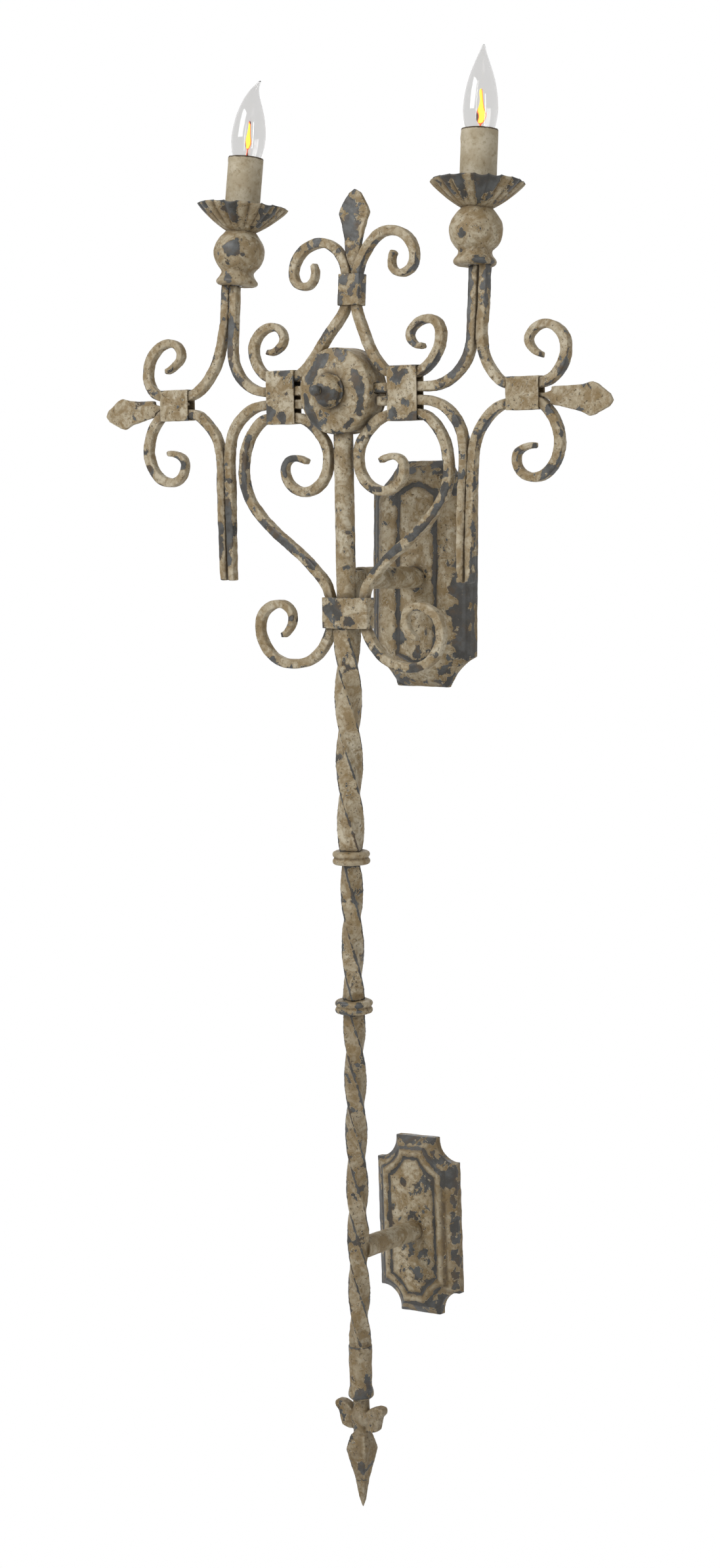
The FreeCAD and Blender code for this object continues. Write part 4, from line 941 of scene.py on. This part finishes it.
bulbs = [make_glass(side) for side in SIDES]
print(len(bulbs), "bulbs, each of", len(bulbs[0].data.polygons), "faces before its smoothing")

# %% [markdown]
# ## The flames
#
# Inside each bulb a flame-shaped metal plate glows at its skin, orange at the border and yellow in
# the body, with a dark patch that the glow doesn't reach. The plate is built up ring by ring, each
# ring as wide as the flame is at that height. A `warmth` number per vertex drives the glow.

# %% Flame plates
# Each ring is its height above the candle's foot, its middle's place sideways, and half its width.
FLAMES = {
    "left": [(109.0, 0.3, 0.35), (114.5, 0.2, 0.45), (116.2, 0.3, 1.7), (119.0, 0.5, 2.9), (122.0, 0.4, 3.1),
             (125.0, 0.2, 2.5), (128.5, 0.3, 1.8), (132.0, 0.5, 1.25), (135.5, 0.5, 0.9), (138.8, 0.4, 0.5)],
    "right": [(108.5, 0.2, 0.4), (111.5, 0.3, 0.6), (113.5, 0.6, 2.6), (116.0, 0.6, 4.3), (119.0, 0.8, 4.9),
              (122.0, 0.6, 4.3), (125.0, 0.5, 3.0), (128.5, 0.7, 1.9), (132.0, 0.6, 1.45), (136.0, 0.0, 1.5),
              (138.5, -0.3, 1.3), (140.2, -0.2, 0.6)]}
FLAME_HALF_THICKNESS = 0.9
DARK_PATCH = {"left": (-2.6, 117.5, 1.7, 2.6), "right": (-2.6, 118.2, 2.0, 3.4)}


def flame_glow():
    t = Tree("flame_plate")
    flicker = t.math("MULTIPLY", t.math("SUBTRACT", t.noise(0.003, 3, 0.6), 0.5), 0.25)
    warmth = t.math("ADD", t.attribute("warmth"), flicker)
    colour = t.mix(t.ramp(warmth, 0.05, 0.3), (0.03, 0.008, 0.006), (0.8, 0.06, 0.02))
    colour = t.mix(t.ramp(warmth, 0.3, 0.55), colour, (1.0, 0.3, 0.01))
    colour = t.mix(t.ramp(warmth, 0.55, 0.85), colour, (1.0, 0.78, 0.03))
    t.put(t.shader.inputs["Base Color"], (0.05, 0.03, 0.02))
    t.put(t.shader.inputs["Emission Color"], colour)
    t.shader.inputs["Emission Strength"].default_value = 2.2
    t.shader.inputs["Roughness"].default_value = 0.5
    return t.material


glow = flame_glow()


def make_flame(side):
    bm = bmesh.new()
    rings = []
    for height, middle, half in FLAMES[side]:
        ring = bmesh.ops.create_circle(bm, segments=24, radius=1.0)["verts"]
        scale = Matrix.Diagonal((half * MM, min(half, FLAME_HALF_THICKNESS) * MM, 1, 1))
        bmesh.ops.transform(bm, verts=ring, matrix=Matrix.Translation((middle * MM, 0, height * MM)) @ scale)
        rings.append(ring)
    loops = [[e for e in bm.edges if e.verts[0] in ring and e.verts[1] in ring] for ring in rings]
    for lower, upper in zip(loops, loops[1:]):
        bmesh.ops.bridge_loops(bm, edges=lower + upper)
    bmesh.ops.holes_fill(bm, edges=bm.edges, sides=0)
    bmesh.ops.subdivide_edges(bm, edges=bm.edges, cuts=2, use_grid_fill=True, smooth=0.6)
    bmesh.ops.recalc_face_normals(bm, faces=bm.faces)
    heights = [row[0] for row in FLAMES[side]]
    middles = [row[1] for row in FLAMES[side]]
    halves = [row[2] for row in FLAMES[side]]
    patch_x, patch_z, patch_w, patch_h = DARK_PATCH[side]
    layer = bm.verts.layers.float.new("warmth")
    for vert in bm.verts:
        x, z = vert.co.x / MM, vert.co.z / MM
        half = np.interp(z, heights, halves)
        across = abs(x - np.interp(z, heights, middles)) / half
        dark = math.exp(-(((x - patch_x) / patch_w) ** 2 + ((z - patch_z) / patch_h) ** 2))
        wire = 1.0 if z > heights[2] - 0.5 else 0.0
        tip = 1.0 if side == "right" else min(max((heights[-1] - z) / 3.0, 0), 1)
        vert[layer] = (1.1 - 0.75 * across ** 2.2 - 1.3 * dark) * tip * (0.35 + 0.65 * wire)
    bm.transform(candle_frame(side))
    piece = as_piece(bm, f"flame_{side}_plate")
    piece.data.materials.append(glow)
    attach(piece, "bulb_" + side)
    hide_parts("flame_" + side)
    return piece


flames = [make_flame(side) for side in SIDES]
warmest = max(stored(flames[0].data, "warmth"))
print("a flame plate has", len(flames[0].data.polygons), "faces, and its warmest point is", round(warmest, 2))

# %% [markdown]
# ## What stays as the frame made it
#
# The hidden fittings are already right in shape: threaded tubes, nuts, sockets, the wall bar and
# the leads. They only need a material each, assigned to the frame's own objects.

# %% Plain fittings
def zinc():
    t = Tree("zinc_hardware")
    spangle = t.nodes.new("ShaderNodeTexVoronoi")
    t.put(spangle.inputs["Vector"], t.coords)
    t.put(spangle.inputs["Scale"], 420.0)
    tone = t.math("ADD", t.math("MULTIPLY", spangle.outputs["Distance"], 0.5), t.noise(0.006, 5, 0.6))
    colour = t.mix(t.ramp(tone, 0.45, 1.0), (0.34, 0.34, 0.33), (0.55, 0.55, 0.54))
    stain = t.ramp(t.noise(0.009, 6, 0.7), 0.56, 0.7)
    t.put(t.shader.inputs["Base Color"], t.mix(stain, colour, (0.2, 0.15, 0.1)))
    t.shader.inputs["Metallic"].default_value = 0.9
    t.put(t.shader.inputs["Roughness"], t.math("ADD", 0.34, t.math("MULTIPLY", t.noise(0.003, 4, 0.6), 0.25)))
    t.put(t.shader.inputs["Normal"], t.bump(t.noise(0.0012, 3, 0.6), 0.1 * MM, 0.4))
    return t.material


def brass():
    t = Tree("bulb_cap")
    t.put(t.shader.inputs["Base Color"],
          t.mix(t.ramp(t.noise(0.005, 6, 0.65), 0.42, 0.66), (0.78, 0.58, 0.28), (0.46, 0.32, 0.15)))
    t.shader.inputs["Metallic"].default_value = 1.0
    t.put(t.shader.inputs["Roughness"], t.math("ADD", 0.22, t.math("MULTIPLY", t.noise(0.004, 4, 0.6), 0.25)))
    t.put(t.shader.inputs["Normal"], t.bump(t.noise(0.0015, 3, 0.5), 0.08 * MM, 0.4))
    return t.material


def moulded(name, colour, worn, size):
    t = Tree(name)
    t.put(t.shader.inputs["Base Color"], t.mix(t.ramp(t.noise(size, 5, 0.65), 0.42, 0.72), colour, worn))
    t.put(t.shader.inputs["Roughness"], t.math("ADD", 0.4, t.math("MULTIPLY", t.noise(size / 2, 4, 0.6), 0.25)))
    t.put(t.shader.inputs["Normal"], t.bump(t.noise(0.0011, 3, 0.6), 0.08 * MM, 0.5))
    return t.material


FITTINGS = {
    "zinc_hardware": zinc(),
    "bulb_cap": brass(),
    "socket_body": moulded("socket_body", (0.62, 0.58, 0.48), (0.42, 0.36, 0.27), 0.006),
    "lead_insulation": moulded("lead_insulation", (0.035, 0.035, 0.036), (0.075, 0.07, 0.065), 0.01)}
slots = {entry["node"]: entry["material_slot"] for entry in frame["record"]["subparts"]}
for name, node in frame["nodes"].items():
    if not node.hide_render:
        node.data.materials.clear()
        node.data.materials.append(FITTINGS[slots[name]])
print("fittings left as they are:", sorted(n for n, o in frame["nodes"].items() if not o.hide_render))

# %% [markdown]
# ## Floor, light and camera
#
# The sconce hangs in front of plain white. A pale floor far below keeps the shadow without a wall
# behind it, so that the back can be looked at too. To the camera the world is white at a strength
# of 1, and to everything else it is a soft grey that fills the shadows.

# %% Floor and world
FLOOR_DROP = 0.12
WORLD_FILL = 0.28


def shown_directly(t):
    """1 for rays that show the background itself: camera, mirror and glass rays."""
    path = t.nodes.new("ShaderNodeLightPath")
    seen = t.math("ADD", path.outputs["Is Camera Ray"], path.outputs["Is Glossy Ray"], True)
    return t.math("ADD", seen, path.outputs["Is Transmission Ray"], True)


def pale_floor():
    t = Tree("pale_floor")
    glow_node = t.nodes.new("ShaderNodeEmission")
    t.put(glow_node.inputs["Color"], (1.0, 1.0, 1.0))
    mixer = t.nodes.new("ShaderNodeMixShader")
    tone = t.mix(t.noise(0.4, 2, 0.5), (0.9, 0.9, 0.9), (0.93, 0.93, 0.93))
    t.put(t.shader.inputs["Base Color"], tone)
    t.shader.inputs["Roughness"].default_value = 0.9
    reach = t.nodes.new("ShaderNodeVectorMath")
    reach.operation = "LENGTH"
    t.put(reach.inputs[0], t.coords)
    clear = t.math("ADD", 0.88, t.math("MULTIPLY", t.ramp(reach.outputs["Value"], 0.2, 1.0), 0.12))
    t.put(mixer.inputs["Fac"], t.math("MULTIPLY", shown_directly(t), clear))
    t.links.new(t.shader.outputs["BSDF"], mixer.inputs[1])
    t.links.new(glow_node.outputs[0], mixer.inputs[2])
    t.links.new(mixer.outputs[0], t.nodes["Material Output"].inputs["Surface"])
    return t.material


bm = bmesh.new()
bmesh.ops.create_grid(bm, x_segments=2, y_segments=2, size=6.0)
bm.transform(Matrix.Translation((0, 0, cad_box[0].z - FLOOR_DROP)))
floor = as_piece(bm, "floor")
floor.data.materials.append(pale_floor())
floor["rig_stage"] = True

world = bpy.data.worlds.new("studio")
bpy.context.scene.world = world
world.use_nodes = True
nodes, links = world.node_tree.nodes, world.node_tree.links
path = nodes.new("ShaderNodeLightPath")
seen = nodes.new("ShaderNodeMath")
seen.operation = "ADD"
seen.use_clamp = True
links.new(path.outputs["Is Camera Ray"], seen.inputs[0])
links.new(path.outputs["Is Glossy Ray"], seen.inputs[1])
through = nodes.new("ShaderNodeMath")
through.operation = "ADD"
through.use_clamp = True
links.new(seen.outputs[0], through.inputs[0])
links.new(path.outputs["Is Transmission Ray"], through.inputs[1])
strength = nodes.new("ShaderNodeMapRange")
strength.inputs["To Min"].default_value = WORLD_FILL
links.new(through.outputs[0], strength.inputs["Value"])
links.new(strength.outputs["Result"], nodes["Background"].inputs["Strength"])
nodes["Background"].inputs["Color"].default_value = (1.0, 1.0, 1.0, 1.0)
print("floor at z", round(cad_box[0].z - FLOOR_DROP, 3))

# %% [markdown]
# The main light is a large soft box high on the left, in front. A narrow upright strip on the right
# gives the bulbs their long white streak, as it does in a photographer's studio, and a weak lamp
# behind keeps the back readable.

# %% Lamps
def softbox(name, place, target, width, height, watts):
    data = bpy.data.lights.new(name, "AREA")
    data.shape = "RECTANGLE"
    data.size = width
    data.size_y = height
    data.energy = watts
    lamp = bpy.data.objects.new(name, data)
    bpy.context.collection.objects.link(lamp)
    lamp.location = place
    lamp.rotation_euler = (Vector(target) - Vector(place)).to_track_quat("-Z", "Y").to_euler()
    return lamp


HEAD = Vector((0.0, -0.12, 0.05))
softbox("key", (-0.9, -2.4, 1.5), HEAD, 1.6, 1.6, 54)
softbox("strip", (2.2, -1.1, 0.5), HEAD, 0.22, 1.9, 14)
softbox("low_fill", (0.6, -2.3, -1.2), (0, -0.1, -0.4), 1.2, 1.2, 8)
back = softbox("back", (-1.2, 1.8, 0.9), HEAD, 1.4, 1.4, 12)
back.visible_transmission = False

# %% [markdown]
# The camera stands to the right of the sconce, level with its head, and looks a little down. The
# frame is taken to be 1097 by 2390 pixels, so the lens follows from the focal length in pixels.

# %% Camera
IMAGE_WIDTH, IMAGE_HEIGHT = 1097, 2390
FOCAL_PIXELS = 4204.4
SENSOR = 36.0
CAMERA_PLACE = Vector((1.37059, -1.98605, 0.01887))
CAMERA_YAW = math.radians(36.009)
CAMERA_PITCH = math.radians(4.809)
CAMERA_ROLL = math.radians(0.205)

look = Vector((-math.sin(CAMERA_YAW) * math.cos(CAMERA_PITCH), math.cos(CAMERA_YAW) * math.cos(CAMERA_PITCH),
               -math.sin(CAMERA_PITCH)))
level = Vector((math.cos(CAMERA_YAW), math.sin(CAMERA_YAW), 0))
upward = level.cross(look)
right = math.cos(CAMERA_ROLL) * level + math.sin(CAMERA_ROLL) * upward
up = math.cos(CAMERA_ROLL) * upward - math.sin(CAMERA_ROLL) * level
camera_data = bpy.data.cameras.new("camera")
camera_data.sensor_width = SENSOR
camera_data.lens = FOCAL_PIXELS / max(IMAGE_WIDTH, IMAGE_HEIGHT) * SENSOR
camera_data.clip_start = 0.05
camera_data.clip_end = 60
camera = bpy.data.objects.new("camera", camera_data)
bpy.context.collection.objects.link(camera)
turn = Matrix((right, up, -look)).transposed().to_4x4()
camera.matrix_world = Matrix.Translation(CAMERA_PLACE) @ turn
bpy.context.scene.camera = camera
bpy.context.scene.view_settings.view_transform = "Standard"
print("lens", round(camera_data.lens, 2), "mm")

# %% [markdown]
# Last, the size of what shows is printed next to the size of the frame. The looks may never
# outgrow the construction.

# %% Sizes and finish
shown_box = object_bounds()
sizes = {"cad": [list(corner) for corner in cad_box], "visual": [list(corner) for corner in shown_box]}
for kind, corners in sizes.items():
    print(kind, [[round(v, 4) for v in corner] for corner in corners])
